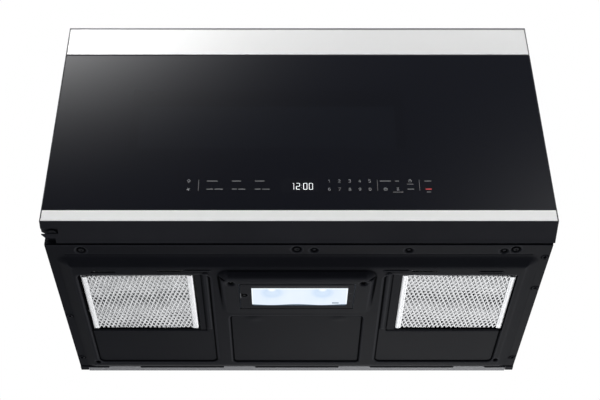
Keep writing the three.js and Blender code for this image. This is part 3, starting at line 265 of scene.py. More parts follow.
def spot(finish, x, d, near, far):
    """1 within a ring around an upright line, else 0."""
    flat = finish.add("ShaderNodeVectorMath", operation="MULTIPLY")
    finish.link(finish.place, flat.inputs[0])
    flat.inputs[1].default_value = (1, 1, 0)
    reach = finish.distance(flat.outputs[0], (x * MM, (d - DEPTH) * MM, 0))
    inner = finish.math("GREATER_THAN", reach, near * MM)
    outer = finish.math("LESS_THAN", reach, far * MM)
    return finish.math("MULTIPLY", inner, outer)


def patch(finish, x_span, d_span):
    """1 on a rectangle seen from below, else 0."""
    across = finish.inside("X", x_span[0] * MM, x_span[1] * MM)
    along = finish.inside("Y", (d_span[0] - DEPTH) * MM, (d_span[1] - DEPTH) * MM)
    return finish.math("MULTIPLY", across, along)


def lamp_screw_zinc():
    """A black screw with painted shade over all but the middle of its head."""
    dark, light = (0.006, 0.0065, 0.008), (0.012, 0.0125, 0.015)
    finish = zinc_sheet("lamp_screw_zinc", dark, light, 0.0, (0.5, 0.6), 0.03)
    # Painted shade over the head and around it, leaving its middle.
    paint_shade(finish, spot(finish, *COVER_SCREW, 1.7, 9.0))
    return finish


def cover_paint_with_painted_light():
    """The paint of the lamp cover, with painted shade in its screw seat and its slot, a painted highlight on
    the seat's rim, a light strip along its left edge and the two hinge marks.
    """
    finish = black_paint("cover_paint_with_painted_light")
    left, right = BASE_MIDDLE - COVER_HALF, BASE_MIDDLE + COVER_HALF
    x, d = COVER_SCREW
    # Painted shade in the screw seat, and a painted highlight on its rim.
    paint_shade(finish, spot(finish, x, d, 2.2, 5.6))
    recoloured(finish, spot(finish, x, d, 5.6, 6.8), (0.016, 0.017, 0.021))
    # Painted shade in the slot at the left edge.
    paint_shade(finish, patch(finish, (left - 1, left + 4.4), (d - 6, d + 5)))
    recoloured(finish, patch(finish, (left - 1, left + 1.6), (d - 6, d + 9)), (0.11, 0.113, 0.12))
    for mark in HINGE_MARKS:
        place = patch(finish, (right - 7.5, right - 2.5), (mark - 0.8, mark + 0.9))
        recoloured(finish, place, (0.030, 0.031, 0.036))
    return finish


def dark_moulding(name, dark, light):
    """Dark plastic that is lighter on the side edges of the door."""
    values = {"Specular_IOR_Level": 0.06}
    finish = varied(name, dark, light, 12, (0.34, 0.42), (1800, 0.08, 0.0001), **values)
    plain = finish.shader.inputs["Base Color"].links[0].from_socket
    middle = finish.inside("X", -EDGE_FROM * MM, EDGE_FROM * MM)
    finish.feed("Base Color", finish.mixed(middle, (0.050, 0.052, 0.058), plain))
    return finish


def zinc_sheet(name, dark, light, metallic=1.0, rough=(0.34, 0.5), specular=0.5):
    finish = Finish(name, Metallic=metallic, Specular_IOR_Level=specular)
    spangle = finish.cells(140, "Color")
    grey = finish.add("ShaderNodeRGBToBW")
    finish.link(spangle, grey.inputs[0])
    finish.ramp(grey.outputs[0], [(0.0, dark), (1.0, light)], "Base Color")
    finish.ramp(grey.outputs[0], [(0.0, rough[0]), (1.0, rough[1])], "Roughness")
    finish.bump(finish.noise(300, 3), 0.06, 0.0002)
    return finish


def rolled_aluminium():
    finish = Finish("rolled_aluminium", Metallic=0.3, Specular_IOR_Level=0.2)
    lines = finish.noise(60, 3, 0.6, finish.stretched(1, 0.06, 1))
    finish.ramp(lines, [(0.3, (0.68, 0.685, 0.70)), (0.7, (0.78, 0.785, 0.80))], "Base Color")
    finish.ramp(lines, [(0.3, 0.5), (0.7, 0.6)], "Roughness")
    finish.bump(finish.noise(900, 2, 0.5, finish.stretched(1, 0.08, 1)), 0.12, 0.0001)
    return finish


def mesh_aluminium():
    finish = Finish("mesh_aluminium", Metallic=0.12, Specular_IOR_Level=0.2)
    drift = finish.noise(40, 4)
    finish.ramp(drift, [(0.35, (0.60, 0.605, 0.615)), (0.65, (0.74, 0.745, 0.755))], "Base Color")
    finish.ramp(drift, [(0.3, 0.45), (0.7, 0.6)], "Roughness")
    finish.bump(finish.noise(2500, 2), 0.2, 0.0001)
    return finish


def laminated_steel():
    finish = Finish("laminated_steel", Metallic=0.8)
    sheets = finish.add("ShaderNodeTexWave", bands_direction="Y")
    sheets.inputs["Scale"].default_value = 320
    sheets.inputs["Distortion"].default_value = 0.4
    finish.link(finish.place, sheets.inputs["Vector"])
    finish.ramp(sheets.outputs["Fac"], [(0.1, (0.10, 0.10, 0.11)), (0.9, (0.22, 0.22, 0.23))], "Base Color")
    finish.ramp(finish.noise(60), [(0.3, 0.4), (0.7, 0.55)], "Roughness")
    finish.bump(sheets.outputs["Fac"], 0.3, 0.0002)
    return finish


def copper_winding():
    finish = Finish("copper_winding", Metallic=0.9)
    turns = finish.add("ShaderNodeTexWave", bands_direction="Z")
    turns.inputs["Scale"].default_value = 180
    turns.inputs["Distortion"].default_value = 0.6
    finish.link(finish.place, turns.inputs["Vector"])
    finish.ramp(turns.outputs["Fac"], [(0.1, (0.28, 0.09, 0.03)), (0.9, (0.62, 0.26, 0.12))], "Base Color")
    finish.ramp(turns.outputs["Fac"], [(0.1, 0.45), (0.9, 0.28)], "Roughness")
    finish.bump(turns.outputs["Fac"], 0.6, 0.0006)
    return finish


def circuit_board():
    finish = Finish("circuit_board", Coat_Weight=0.4)
    traces = finish.cells(140, "Distance", "DISTANCE_TO_EDGE")
    pads = finish.math("LESS_THAN", traces, 0.05)
    finish.feed("Base Color", finish.mixed(pads, (0.012, 0.07, 0.025), (0.03, 0.15, 0.055)))
    finish.ramp(finish.noise(80), [(0.3, 0.32), (0.7, 0.45)], "Roughness")
    finish.bump(traces, 0.1, 0.0002)
    return finish


def charcoal_pad():
    finish = Finish("charcoal_pad")
    grains = finish.cells(420)
    finish.ramp(grains, [(0.0, (0.03, 0.03, 0.03)), (0.8, (0.006, 0.006, 0.006))], "Base Color")
    finish.ramp(grains, [(0.0, 0.6), (0.8, 0.95)], "Roughness")
    finish.bump(grains, 0.8, 0.0012)
    return finish


WINDOW = {"left": -247.5, "right": 151.0, "bottom": 153.75, "top": 240.0}
DISPLAY = {"left": -26.2, "right": 29.0, "bottom": 68.4, "top": 95.3}
WINDOW_EDGE = {"left": -261.0, "right": 165.0, "bottom": 153.75, "top": 275.0}


def area(finish, rectangle):
    """1 on the part of the front that a rectangle covers."""
    x = finish.inside("X", rectangle["left"] * MM, rectangle["right"] * MM)
    low = (rectangle["bottom"] - MOUNT) * MM
    high = (rectangle["top"] - MOUNT) * MM
    return finish.math("MULTIPLY", x, finish.inside("Z", low, high))


def black_glass():
    """Black backing with a slightly darker printed border around the window."""
    finish = Finish("black_glass", Specular_IOR_Level=0.06)
    drift = finish.noise(3, 2)
    plain = finish.ramp(drift, [(0.3, (0.0015, 0.0020, 0.0048)), (0.7, (0.0019, 0.0025, 0.0055))])
    border = finish.mixed(area(finish, WINDOW_EDGE), plain, (0.0013, 0.0018, 0.0044))
    pane = finish.mixed(area(finish, WINDOW), border, (0.0024, 0.0031, 0.0062))
    finish.feed("Base Color", finish.mixed(area(finish, DISPLAY), pane, (0.0026, 0.0032, 0.0060)))
    finish.ramp(finish.noise(14, 4), [(0.3, 0.05), (0.7, 0.075)], "Roughness")
    return finish


def white_glass(name, white, specular):
    finish = Finish(name, Specular_IOR_Level=specular)
    dim = tuple(0.98 * c for c in white)
    finish.ramp(finish.noise(5, 3), [(0.3, dim), (0.7, white)], "Base Color")
    finish.ramp(finish.noise(16, 3), [(0.3, 0.30), (0.7, 0.34)], "Roughness")
    return finish


def panel_glass():
    """White glass with a ground edge along its top."""
    finish = white_glass("white_panel_glass", (0.53, 0.53, 0.53), 0.5)
    top = layout_box("vent_panel_glass")[1].z - PANEL_EDGE
    above = finish.math("GREATER_THAN", finish.axis("Z"), (top - MOUNT) * MM)
    recoloured(finish, above, (0.12, 0.12, 0.122))
    return finish


def clear_glass():
    finish = Finish("clear_glass", Transmission_Weight=1.0, IOR=1.5)
    finish.ramp(finish.noise(8), [(0.3, (0.90, 0.955, 0.94)), (0.7, (0.93, 0.97, 0.96))], "Base Color")
    finish.ramp(finish.noise(30), [(0.3, 0.02), (0.7, 0.05)], "Roughness")
    finish.bump(finish.noise(60, 2), 0.02, 0.0004)
    return finish


def screened_glass():
    """The oven window with its screen of small holes."""
    finish = Finish("screened_glass", Specular_IOR_Level=0.5)
    holes = finish.cells(330, vector=finish.stretched(1, 0, 1))
    finish.ramp(holes, [(0.30, (0.05, 0.052, 0.055)), (0.42, (0.010, 0.010, 0.011))], "Base Color")
    finish.ramp(finish.noise(20), [(0.3, 0.08), (0.7, 0.16)], "Roughness")
    return finish


LENS_DISC = {"d": 147, "stops": [(0.006, 0.08), (0.0135, 0.0), (0.0175, 0.26), (0.03, 0.34)]}
LENS_CORE = {"d": 137, "stops": [(0.003, 0.7), (0.007, 0.0)]}
LENS_WAVE = {"length": 0.080, "height": 0.0016}
LENS_LIGHT = [(0.12, (0.55, 0.68, 0.85)), (0.5, (0.72, 0.80, 0.91)), (0.85, (0.90, 0.93, 0.97))]
LENS_RIM = (0.88, 0.94, 1.0)
LENS_BLACK = (0.0045, 0.005, 0.007)


def lens_spots(finish, operation, shape):
    """The two diodes' spots of one shape, joined by an operation."""
    places = [at(x, shape["d"], -14) for x in LENS_SPOTS]
    spots = [finish.ramp(finish.distance(finish.place, place), shape["stops"]) for place in places]
    return finish.math(operation, *spots)


def lens_back(finish):
    """1 behind the lens's wavy back edge, else 0."""
    across = finish.math("SUBTRACT", finish.axis("X"), BASE_MIDDLE * MM)
    turn = finish.math("MULTIPLY", across, 2 * math.pi / LENS_WAVE["length"])
    wave = finish.math("MULTIPLY", finish.math("COSINE", turn), LENS_WAVE["height"])
    drawn = finish.math("ADD", finish.axis("Y"), wave)
    beyond = finish.math("SUBTRACT", drawn, (LENS_BACK - DEPTH) * MM)
    return finish.math("MULTIPLY", beyond, 900.0, clamp=True)


def lamp_lens():
    """A frosted lens with two spots where the diodes sit, a bright rim and a painted shadow along its wavy
    back edge.
    """
    finish = Finish("lamp_lens", Roughness=0.4, Specular_IOR_Level=0.04)
    discs = lens_spots(finish, "MINIMUM", LENS_DISC)
    glow = finish.math("MAXIMUM", discs, lens_spots(finish, "MAXIMUM", LENS_CORE))
    frost = finish.noise(28, 3, vector=finish.stretched(1, 0.4, 1))
    cloud = finish.math("ADD", glow, finish.math("MULTIPLY", frost, 0.3))
    low, high = LENS_SIDES
    middle = patch(finish, (low + 1.8, high - 1.8), (LENS_FRONT + 2.6, LENS_BACK + 9))
    rimmed = finish.mixed(middle, LENS_RIM, finish.ramp(cloud, LENS_LIGHT))
    marked = finish.mixed(patch(finish, *LENS_MARK), rimmed, (0.20, 0.27, 0.33))
    # Painted shadow along the wavy back edge of the lens.
    back_shadowed = finish.mixed(lens_back(finish), marked, (0.03, 0.07, 0.12))
    clear = patch(finish, (low, high), (LENS_FRONT, LENS_BACK + 9))
    finish.feed("Emission Color", finish.mixed(clear, LENS_BLACK, back_shadowed))
    finish.feed("Emission Strength", finish.math("MULTIPLY", clear, 0.98))
    frosted = finish.ramp(cloud, [(0.0, (0.08, 0.09, 0.10)), (0.9, (0.12, 0.125, 0.13))])
    finish.feed("Base Color", finish.mixed(clear, LENS_BLACK, frosted))
    return finish


def lit_print(name, colour, strength):
    """Print on the glass that is lit from behind."""
    finish = Finish(name, Roughness=0.4)
    grain = finish.noise(900, 2)
    dim = tuple(0.85 * c for c in colour)
    finish.ramp(grain, [(0.3, dim), (0.7, colour)], "Base Color")
    finish.ramp(grain, [(0.3, dim), (0.7, colour)], "Emission Color")
    finish.shader.inputs["Emission Strength"].default_value = strength
    return finish


FINISHES = {
    "painted_steel": black_paint("black_paint"),
    "galvanised_steel": zinc_sheet("zinc_sheet", (0.37, 0.38, 0.395), (0.46, 0.47, 0.48)),
    "oven_paint": varied(
        "oven_paint", (0.50, 0.50, 0.475), (0.56, 0.56, 0.535), 6, (0.28, 0.36), (500, 0.06, 0.0002)
    ),
    "black_plastic": varied(
        "black_plastic", (0.012, 0.012, 0.013), (0.018, 0.018, 0.020), 20, (0.42, 0.55), (1500, 0.2, 0.0001)
    ),
    "dark_trim": dark_moulding("dark_moulding", (0.0085, 0.0090, 0.0122), (0.0112, 0.0118, 0.0155)),
    "motor_steel": laminated_steel(),
    "black_glass": black_glass(),
    "white_glass": white_glass("white_glass", (0.655, 0.655, 0.652), 0.12),
    "clear_glass": clear_glass(),
    "frosted_lens": lamp_lens(),
    "aluminium": varied(
        "cast_aluminium",
        (0.60, 0.61, 0.62),
        (0.72, 0.73, 0.74),
        25,
        (0.3, 0.46),
        (700, 0.15, 0.0002),
        Metallic=1.0,
    ),
    "copper_winding": copper_winding(),
    "circuit_board": circuit_board(),
    "white_plastic": varied(
        "white_plastic", (0.62, 0.62, 0.59), (0.68, 0.68, 0.65), 15, (0.4, 0.5), (1200, 0.1, 0.0001)
    ),
    "charcoal_pad": charcoal_pad(),
}
BASE_SCREWS = ("base_screw_left", "base_screw_middle", "base_screw_right")
GREASE_FILTERS = {-1: "grease_filter_left", 1: "grease_filter_right"}
DULL_ZINC = zinc_sheet("dull_zinc", (0.12, 0.122, 0.132), (0.165, 0.167, 0.177), 0.2, (0.6, 0.7))
BLACK_ZINC = zinc_sheet("black_zinc", (0.004, 0.0045, 0.006), (0.008, 0.0085, 0.0105), 0.0, (0.5, 0.6), 0.03)
MESH_FINISH = mesh_aluminium()
RAIL_FINISH = rolled_aluminium()
PAINT_WITH_PAINTED_BEND_LIGHT = paint_with_painted_bend_light()
NODE_FINISHES = {
    "lamp_cover": cover_paint_with_painted_light(),
    "base_plate": PAINT_WITH_PAINTED_BEND_LIGHT,
    "inner_window": screened_glass(),
    "vent_panel_frame": dark_moulding("panel_edge", (0.16, 0.162, 0.168), (0.19, 0.192, 0.198)),
    "vent_panel_glass": panel_glass(),
    "wall_plate": DULL_ZINC,
    "lamp_screw": lamp_screw_zinc(),
    "hinge_lower": BLACK_ZINC,
    **{node: BLACK_ZINC for node in BASE_SCREWS},
    **{name + "_mesh": MESH_FINISH for name in GREASE_FILTERS.values()},
    **{name + "_frame": RAIL_FINISH for name in GREASE_FILTERS.values()},
}


def finish_of(node):
    return NODE_FINISHES.get(node) or FINISHES[SLOTS[node]]


for name, thing in frame["nodes"].items():
    thing.data.materials.clear()
    thing.data.materials.append(finish_of(name).material)


# ---------------------------------------------------------------- building pieces


def placed(name, data):
    made = bpy.data.objects.new(name, data)
    bpy.context.scene.collection.objects.link(made)
    return made


def piece(name, mesh, body, finish, replaced=()):
    """Makes an object of a mesh that is laid out in metres in the part's frame."""
    made = placed(name, mesh)
    mesh.materials.clear()
    mesh.materials.append(finish.material)
    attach(made, body)
    if replaced:
        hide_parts(*replaced)
    return made


def mesh_of(name, points, faces):
    mesh = bpy.data.meshes.new(name)
    mesh.from_pydata([tuple(p) for p in points], [], [tuple(f) for f in faces])
    mesh.update()
    return mesh


def evaluated_mesh(made):
    """An object's mesh as its modifiers or its curve make it."""
    bpy.context.view_layer.update()
    return bpy.data.meshes.new_from_object(made.evaluated_get(bpy.context.evaluated_depsgraph_get()))


def rounded(node, width):
    """Stands for a CAD node with its sharp edges rounded; its flat faces stay triangles."""
    source = frame["nodes"][node].data
    mesh = mesh_of(node, [v.co for v in source.vertices], [f.vertices for f in source.polygons])
    cage = bmesh.new()
    cage.from_mesh(mesh)
    bmesh.ops.remove_doubles(cage, verts=cage.verts, dist=1e-6)
    cage.to_mesh(mesh)
    cage.free()
    made = piece(node + "_rounded", mesh, body_of(node), finish_of(node), [node])
    bevel = made.modifiers.new("bevel", "BEVEL")
    bevel.width = width * MM
    bevel.segments = 2
    bevel.limit_method = "ANGLE"
    bevel.angle_limit = math.radians(40)
    mesh = evaluated_mesh(made)
    made.modifiers.clear()
    made.data = mesh
    mesh.shade_flat()
    return made


def soft_step(t, softness=0.12):
    """0 below 0 and 1 above 1, straight between, with rounded bends."""
    rise = lambda u: 0.5 * (u + np.sqrt(u * u + softness * softness))
    return rise(t) - rise(t - 1)


def rectangle_distance(x, d, x_span, d_span, radius):
    """Distance to a rectangle with rounded corners, negative inside it."""
    across = np.abs(x - sum(x_span) / 2) - (x_span[1] - x_span[0]) / 2 + radius
    along = np.abs(d - sum(d_span) / 2) - (d_span[1] - d_span[0]) / 2 + radius
    outside = np.hypot(np.maximum(across, 0), np.maximum(along, 0))
    return outside + np.minimum(np.maximum(across, along), 0) - radius


def ticks(span, step, marks, fine):
    """Places along an axis: every mark, and steps between, smaller in the fine stretches."""
    low, high = span
    stops = {low, high, *marks}
    for centre, reach, _ in fine:
        stops |= {centre - reach, centre + reach}
    stops = sorted(s for s in stops if low <= s <= high)
    places = [stops[0]]
    for start, end in zip(stops, stops[1:]):
        middle = (start + end) / 2
        close = [s for centre, reach, s in fine if abs(middle - centre) <= reach]
        count = max(1, math.ceil((end - start) / min([step, *close]) - 1e-6))
        places += [start + (end - start) * i / count for i in range(1, count + 1)]
    return np.array(places)


# ---------------------------------------------------------------- base plate

PAN = {"x": (-364.0, 364.0), "d": (69.0, 403.0), "radius": 16.0, "drop": 8.4, "run": 19.0}
FILTER = {"x": 247.5, "d": (108.5, 269.5), "wide": 176.5, "slack": 2.0, "seen": (113.0, 267.6)}
OPENING_HALF = FILTER["wide"] / 2 + FILTER["slack"]
OPENING_INSET = 3.6  # how much the left end of each opening is drawn in
OPENING_D = (FILTER["d"][0] - 2.5, FILTER["d"][1] + FILTER["slack"])
LIP_SHIFT = (1.9, 0.2)
RECESS = {"inner": 132.4, "outer": FILTER["x"] + OPENING_HALF, "d": (OPENING_D[0], 374.0), "rise": 2.6}
SEAT = {"inner": 145.2, "d": (OPENING_D[0], OPENING_D[1] + 4), "rise": 1.3}
MIDDLE = {"half": 108.5, "d": (224.0, 375.0), "rise": 2.6}
WEDGE = {"half": 121.0, "back_half": 117.0, "d": (94.0, 217.0), "drop": 10.6, "run": 6.0}
LAMP = {"half": 88.5, "long": 78.6, "middle": 159.9, "slack": 1.5}
TILT = math.atan(WEDGE["drop"] / (WEDGE["d"][1] - 100.0))
LAMP_HOLE = (LAMP["long"] / 2 + LAMP["slack"]) * math.cos(TILT)
SCREWS = [(-325, 54), (-3, 52), (324, 52)]
DIMPLES = [(23, 54), (164.5, 54.5), (307, 56)]
LAMP_DENTS = [(BASE_MIDDLE - 101.6, 118.5), (BASE_MIDDLE + 101.6, 118.5)]
CORNER_DENTS = [(-342, 374), (340, 367)]
SIDE_HEADS = [(-370.5, 237), (-370.5, 371), (370.5, 71), (370.5, 155), (370.5, 371)]
OVAL_DENTS = [(-70.5, 236), (66.5, 236)]
SLITS = [(-214.5, -177, 97), (-316, -279, 99), (173, 210.5, 97)]
SLIT_HALF = 1.4
DENT_HOLE = 2.2
PRESSED_BARS = [(-173, -133.5, 96), (129.5, 169, 96), (275, 312, 99)]
TABS = (-300, -100, 100, 300)
TAB_HALF = 27.5  # with the room around a tab
TAB_FRONT = 400.7
BASE_BACK = 404.0
BASE_HALF = 377.2
BACK_STEP = {"d": 401.2, "run": 1.2, "drop": 1.6}
FRONT_FOLD = 3.0
GRID_STEP = 1.9


def side_span(side, inner, outer):
    return tuple(sorted((BASE_MIDDLE + side * inner, BASE_MIDDLE + side * outer)))


# Round pressings: their centres, and the flat radius, outer radius and rise of each step.
ROUND_PRESSINGS = [
    (SCREWS, [(5.4, 9.0, 2.7)]),
    (DIMPLES, [(3.6, 7.8, 2.5), (0.6, 3.2, -1.2)]),
    (LAMP_DENTS, [(3.2, 8.0, 2.5)]),
    (CORNER_DENTS, [(2.8, 6.0, 2.0)]),
]
SIDE_HEAD_STEPS = [(3.4, 5.0, -1.5), (1.6, 3.0, 3.2)]
OVAL_STRETCH = 0.6


def dent(x, d, centre, flat, outer, rise):
    """A round pressing with a flat middle, as a rise of the underside."""
    reach = np.hypot(x - centre[0], d - centre[1])
    return rise * soft_step((outer - reach) / (outer - flat), 0.25)


def pressing(x, d, x_span, d_span, radius, rise, run=2.2, softness=0.3):
    """A pressing with a rectangular outline, as a rise of the underside."""
    distance = rectangle_distance(x, d, x_span, d_span, radius)
    return rise * soft_step(-distance / run, softness)


def wedge_height(x, d):
    """The sloping seat of the lamp, which narrows towards the back."""
    slope = (WEDGE["half"] - WEDGE["back_half"]) / (WEDGE["d"][1] - WEDGE["d"][0])
    half = WEDGE["half"] - slope * (d - WEDGE["d"][0])
    middle = (x - BASE_MIDDLE) * WEDGE["half"] / half
    fall = np.clip((WEDGE["d"][1] - d) * math.tan(TILT), 0, WEDGE["drop"])
    run = WEDGE["run"] + 5.0 * (d < 110)
    return pressing(middle, d, (-WEDGE["half"], WEDGE["half"]), WEDGE["d"], 15, -fall, run, 0.2)


def base_height(x, d):
    """Height of the underside of the base above the flange."""
    height = pressing(x, d, PAN["x"], PAN["d"], PAN["radius"], -PAN["drop"], PAN["run"], 0.12)
    height = height + wedge_height(x, d)
    for side in (-1, 1):
        for shape, radius in ((RECESS, 12), (SEAT, 4)):
            span = side_span(side, shape["inner"], RECESS["outer"])
            height = height + pressing(x, d, span, shape["d"], radius, shape["rise"])
    span = side_span(1, -MIDDLE["half"], MIDDLE["half"])
    height = height + pressing(x, d, span, MIDDLE["d"], 8, MIDDLE["rise"])
    for side in (-1, 1):
        height = height + pressing(x, d, side_span(side, 136.0, 145.0), (101, 268), 4.4, -1.7, 2.4)
    for centres, steps in ROUND_PRESSINGS:
        for centre in centres:
            for step in steps:
                height = height + dent(x, d, centre, *step)
    for cx, cd in OVAL_DENTS:
        height = height + dent(cx + (x - cx) * OVAL_STRETCH, d, (cx, cd), 2.0, 9.0, -0.9)
    for centre in SIDE_HEADS:
        for step in SIDE_HEAD_STEPS:
            height = height + dent(x, d, centre, *step)
    for x0, x1, cd in PRESSED_BARS:
        height = height + pressing(x, d, (x0, x1), (cd - 2.2, cd + 2.2), 2.1, -1.1, 1.6)
    height = height + pressing(x, d, (-352, 352), (61.5, 66.5), 2.4, 0.5, 2.4, 0.4)
    height = height - BACK_STEP["drop"] * soft_step((d - BACK_STEP["d"]) / BACK_STEP["run"], 0.2)
    fold = np.minimum(d - CASE_FRONT, FRONT_FOLD)
    rolled = 1 - np.sqrt(np.clip(1 - (1 - fold / FRONT_FOLD) ** 2, 0, 1))
    return height + SHEET * rolled * 0.8


def bend_of(x, d):
    """Above 0 where the underside bends outward, below 0 in a crease."""
    around = sum(base_height(x + u, d + v) for u, v in ((-2, 0), (2, 0), (0, -2), (0, 2)))
    return around - 4 * base_height(x, d)


def lip_shift(x, d):
    """How far the lip under the front of a filter is drawn back, most at its outer end."""
    outward = np.clip((np.abs(x - BASE_MIDDLE) - FILTER["x"]) / OPENING_HALF, -1, 1)
    beside = np.clip((OPENING_HALF - np.abs(np.abs(x - BASE_MIDDLE) - FILTER["x"])) / 4 + 1, 0, 1)
    near = np.clip(1 - np.where(d < OPENING_D[0], OPENING_D[0] - d, 0.6 * (d - OPENING_D[0])) / 5, 0, 1)
    return (LIP_SHIFT[0] + LIP_SHIFT[1] * outward) * beside * near


def opening_sides(side):
    middle = BASE_MIDDLE + side * FILTER["x"]
    return middle - OPENING_HALF + OPENING_INSET, middle + OPENING_HALF


def base_holes(x, d):
    """True where the base is open."""
    open_ = np.zeros(x.shape, bool)
    for side in (-1, 1):
        low, high = opening_sides(side)
        open_ |= (x > low) & (x < high) & (d > OPENING_D[0]) & (d < OPENING_D[1])
    reach = LAMP["half"] + LAMP["slack"]
    open_ |= (np.abs(x - BASE_MIDDLE) < reach) & (np.abs(d - LAMP["middle"]) < LAMP_HOLE)
    for x0, x1, cd in SLITS:
        open_ |= (x > x0) & (x < x1) & (np.abs(d - cd) < SLIT_HALF)
    for cx, cd in [*LAMP_DENTS, *CORNER_DENTS]:
        open_ |= np.hypot(x - cx, d - cd) < DENT_HOLE
    for tab in TABS:
        open_ |= (np.abs(x - tab) < TAB_HALF) & (d > TAB_FRONT)
    open_ |= (np.abs(x) < PAN["x"][1]) & (d > BASE_BACK)
    return open_


def base_grid():
    """The places across and along that the base is drawn through."""
    marks_x = [-PAN["x"][1], PAN["x"][1]]
    marks_d = [BASE_BACK, TAB_FRONT, *OPENING_D, *(LAMP["middle"] + s * LAMP_HOLE for s in (-1, 1))]
    for side in (-1, 1):
        marks_x += opening_sides(side)
        marks_x.append(BASE_MIDDLE + side * (LAMP["half"] + LAMP["slack"]))
    for x0, x1, cd in SLITS:
        marks_x += [x0, x1]
        marks_d += [cd - SLIT_HALF, cd + SLIT_HALF]
    for tab in TABS:
        marks_x += [tab - TAB_HALF, tab + TAB_HALF]
    spots = [*SCREWS, *DIMPLES, *LAMP_DENTS, *CORNER_DENTS]
    fine_x = [(cx, 10, 0.9) for cx, _ in spots] + [(s * 371, 6.2, 0.9) for s in (-1, 1)]
    fine_d = [(54, 13, 0.8), (42, 2, 0.4), (98, 5, 0.7), (118.5, 9, 0.9), (371, 8, 0.9)]
    xs = ticks((-BASE_HALF, BASE_HALF), GRID_STEP, marks_x, fine_x)
    return xs, ticks((CASE_FRONT, CASE_BACK), GRID_STEP, marks_d, fine_d)


def base_sheet():
    """The underside of the base as one sheet, with its bends noted on its points."""
    xs, ds = base_grid()
    grid_x, grid_d = np.meshgrid(xs, ds, indexing="ij")
    middle_x = (xs[:-1, None] + xs[1:, None]) / 2 + 0 * ds[None, :-1]
    middle_d = 0 * xs[:-1, None] + (ds[None, :-1] + ds[None, 1:]) / 2
    drawn_d = grid_d + lip_shift(grid_x, grid_d)
    grid_h = base_height(grid_x, grid_d)
    places = [grid_x * MM, (drawn_d - DEPTH) * MM, (grid_h - MOUNT) * MM]
    columns = len(ds)
    i, j = np.nonzero(~base_holes(middle_x, middle_d))
    corner = i * columns + j
    faces = np.stack([corner, corner + 1, corner + columns + 1, corner + columns], axis=-1)
    mesh = mesh_of("base_skin", np.stack(places, axis=-1).reshape(-1, 3), faces)
    bend = mesh.attributes.new(BEND, "FLOAT", "POINT")
    bend.data.foreach_set("value", bend_of(grid_x, grid_d).ravel())
    return mesh


def base_plate():
    """The sheet of the base, with a raised edge around it and its holes."""
    mesh = base_sheet()
    cage = bmesh.new()
    cage.from_mesh(mesh)
    loose = [v for v in cage.verts if not v.link_faces]
    bmesh.ops.delete(cage, geom=loose, context="VERTS")
    edges = [e for e in cage.edges if e.is_boundary]
    raised = bmesh.ops.extrude_edge_only(cage, edges=edges)
    lifted = [v for v in raised["geom"] if isinstance(v, bmesh.types.BMVert)]
    bmesh.ops.translate(cage, verts=lifted, vec=(0, 0, SHEET * MM))
    cage.to_mesh(mesh)
    cage.free()
    piece("base_skin", mesh, "cabinet", PAINT_WITH_PAINTED_BEND_LIGHT, ["base_plate"])
    mesh.shade_smooth()
    mesh.set_sharp_from_angle(angle=math.radians(50))


base_plate()

# ---------------------------------------------------------------- grease filters


def prism_between(cage, outline, low, high):
    """A closed prism over a flat outline of (x, y) places, from one height to another."""
    bottom = [cage.verts.new((x, y, low)) for x, y in outline]
    top = [cage.verts.new((x, y, high)) for x, y in outline]
    cage.faces.new(bottom[::-1])
    cage.faces.new(top)
    for i, start in enumerate(bottom):
        following = (i + 1) % len(bottom)
        cage.faces.new((start, bottom[following], top[following], top[i]))


def kept_side(outline, depths):
    """The part of a convex outline where its depths, one for each place, aren't below 0."""
    kept = []
    for i, there in enumerate(outline):
        here = outline[i - 1]
        before, now = depths[i - 1], depths[i]
        if (before < 0) != (now < 0):
            share = before / (before - now)
            kept.append(tuple(a + (b - a) * share for a, b in zip(here, there)))
        if now >= 0:
            kept.append(there)
    return kept


def clipped(outline, limits, front):
    """The part of a convex outline in a rectangle and behind a line d = front[0] + front[1] * x."""
    for axis in (0, 1):
        for bound, side in zip(limits[axis], (1, -1)):
            outline = kept_side(outline, [side * (place[axis] - bound) for place in outline])
    return kept_side(outline, [d - front[0] - front[1] * x for x, d in outline])


# Each sheet of a filter's mesh: strands per millimetre across and along, turn in degrees, height.
MESH_SHEETS = [
    {"across": 0.138, "along": 0.0645, "turn": 5.7, "low": 0.1},
    {"across": 0.137, "along": 0.0768, "turn": 5.6, "low": 1.5},
    {"across": 0.137, "along": 0.0700, "turn": -4.0, "low": 2.9},
]
STRAND = {"wide": 2.1, "thick": 0.55, "step": 0.15, "reach": 140}
# How far each rail is drawn in, by the filter's side and the rail's end, and where its fold starts.
RAIL_INSET = {(-1, -1): 3.5, (-1, 1): 1.6, (1, -1): 3.2, (1, 1): -0.8}
RAIL_FRONT = {-1: 115.0, 1: 119.0}
RAIL_HEIGHT = 7.6
NUB = {"radius": 1.4, "behind": 3.5, "height": 4}


def strands(cage, sheet, side, centre, limits, front, base):
    """Two families of crossing strands, the second slightly above the first."""
    for family, slant in enumerate((1, -1)):
        frequency = Vector((sheet["across"], slant * sheet["along"]))
        frequency.rotate(Matrix.Rotation(math.radians(side * sheet["turn"]), 2))
        step = 1 / frequency.length
        normal = frequency.normalized()
        along = Vector((-normal.y, normal.x))
        reach = STRAND["reach"]
        low = base + sheet["low"] + family * STRAND["step"]
        for i in range(-int(reach / step), int(reach / step) + 1):
            middle = centre + normal * (i * step)
            half = normal * STRAND["wide"] / 2
            ends = [middle - along * reach - half, middle + along * reach - half]
            ends += [middle + along * reach + half, middle - along * reach + half]
            outline = clipped([tuple(e) for e in ends], limits, front)
            if len(outline) > 2:
                prism_between(cage, outline, low, low + STRAND["thick"])


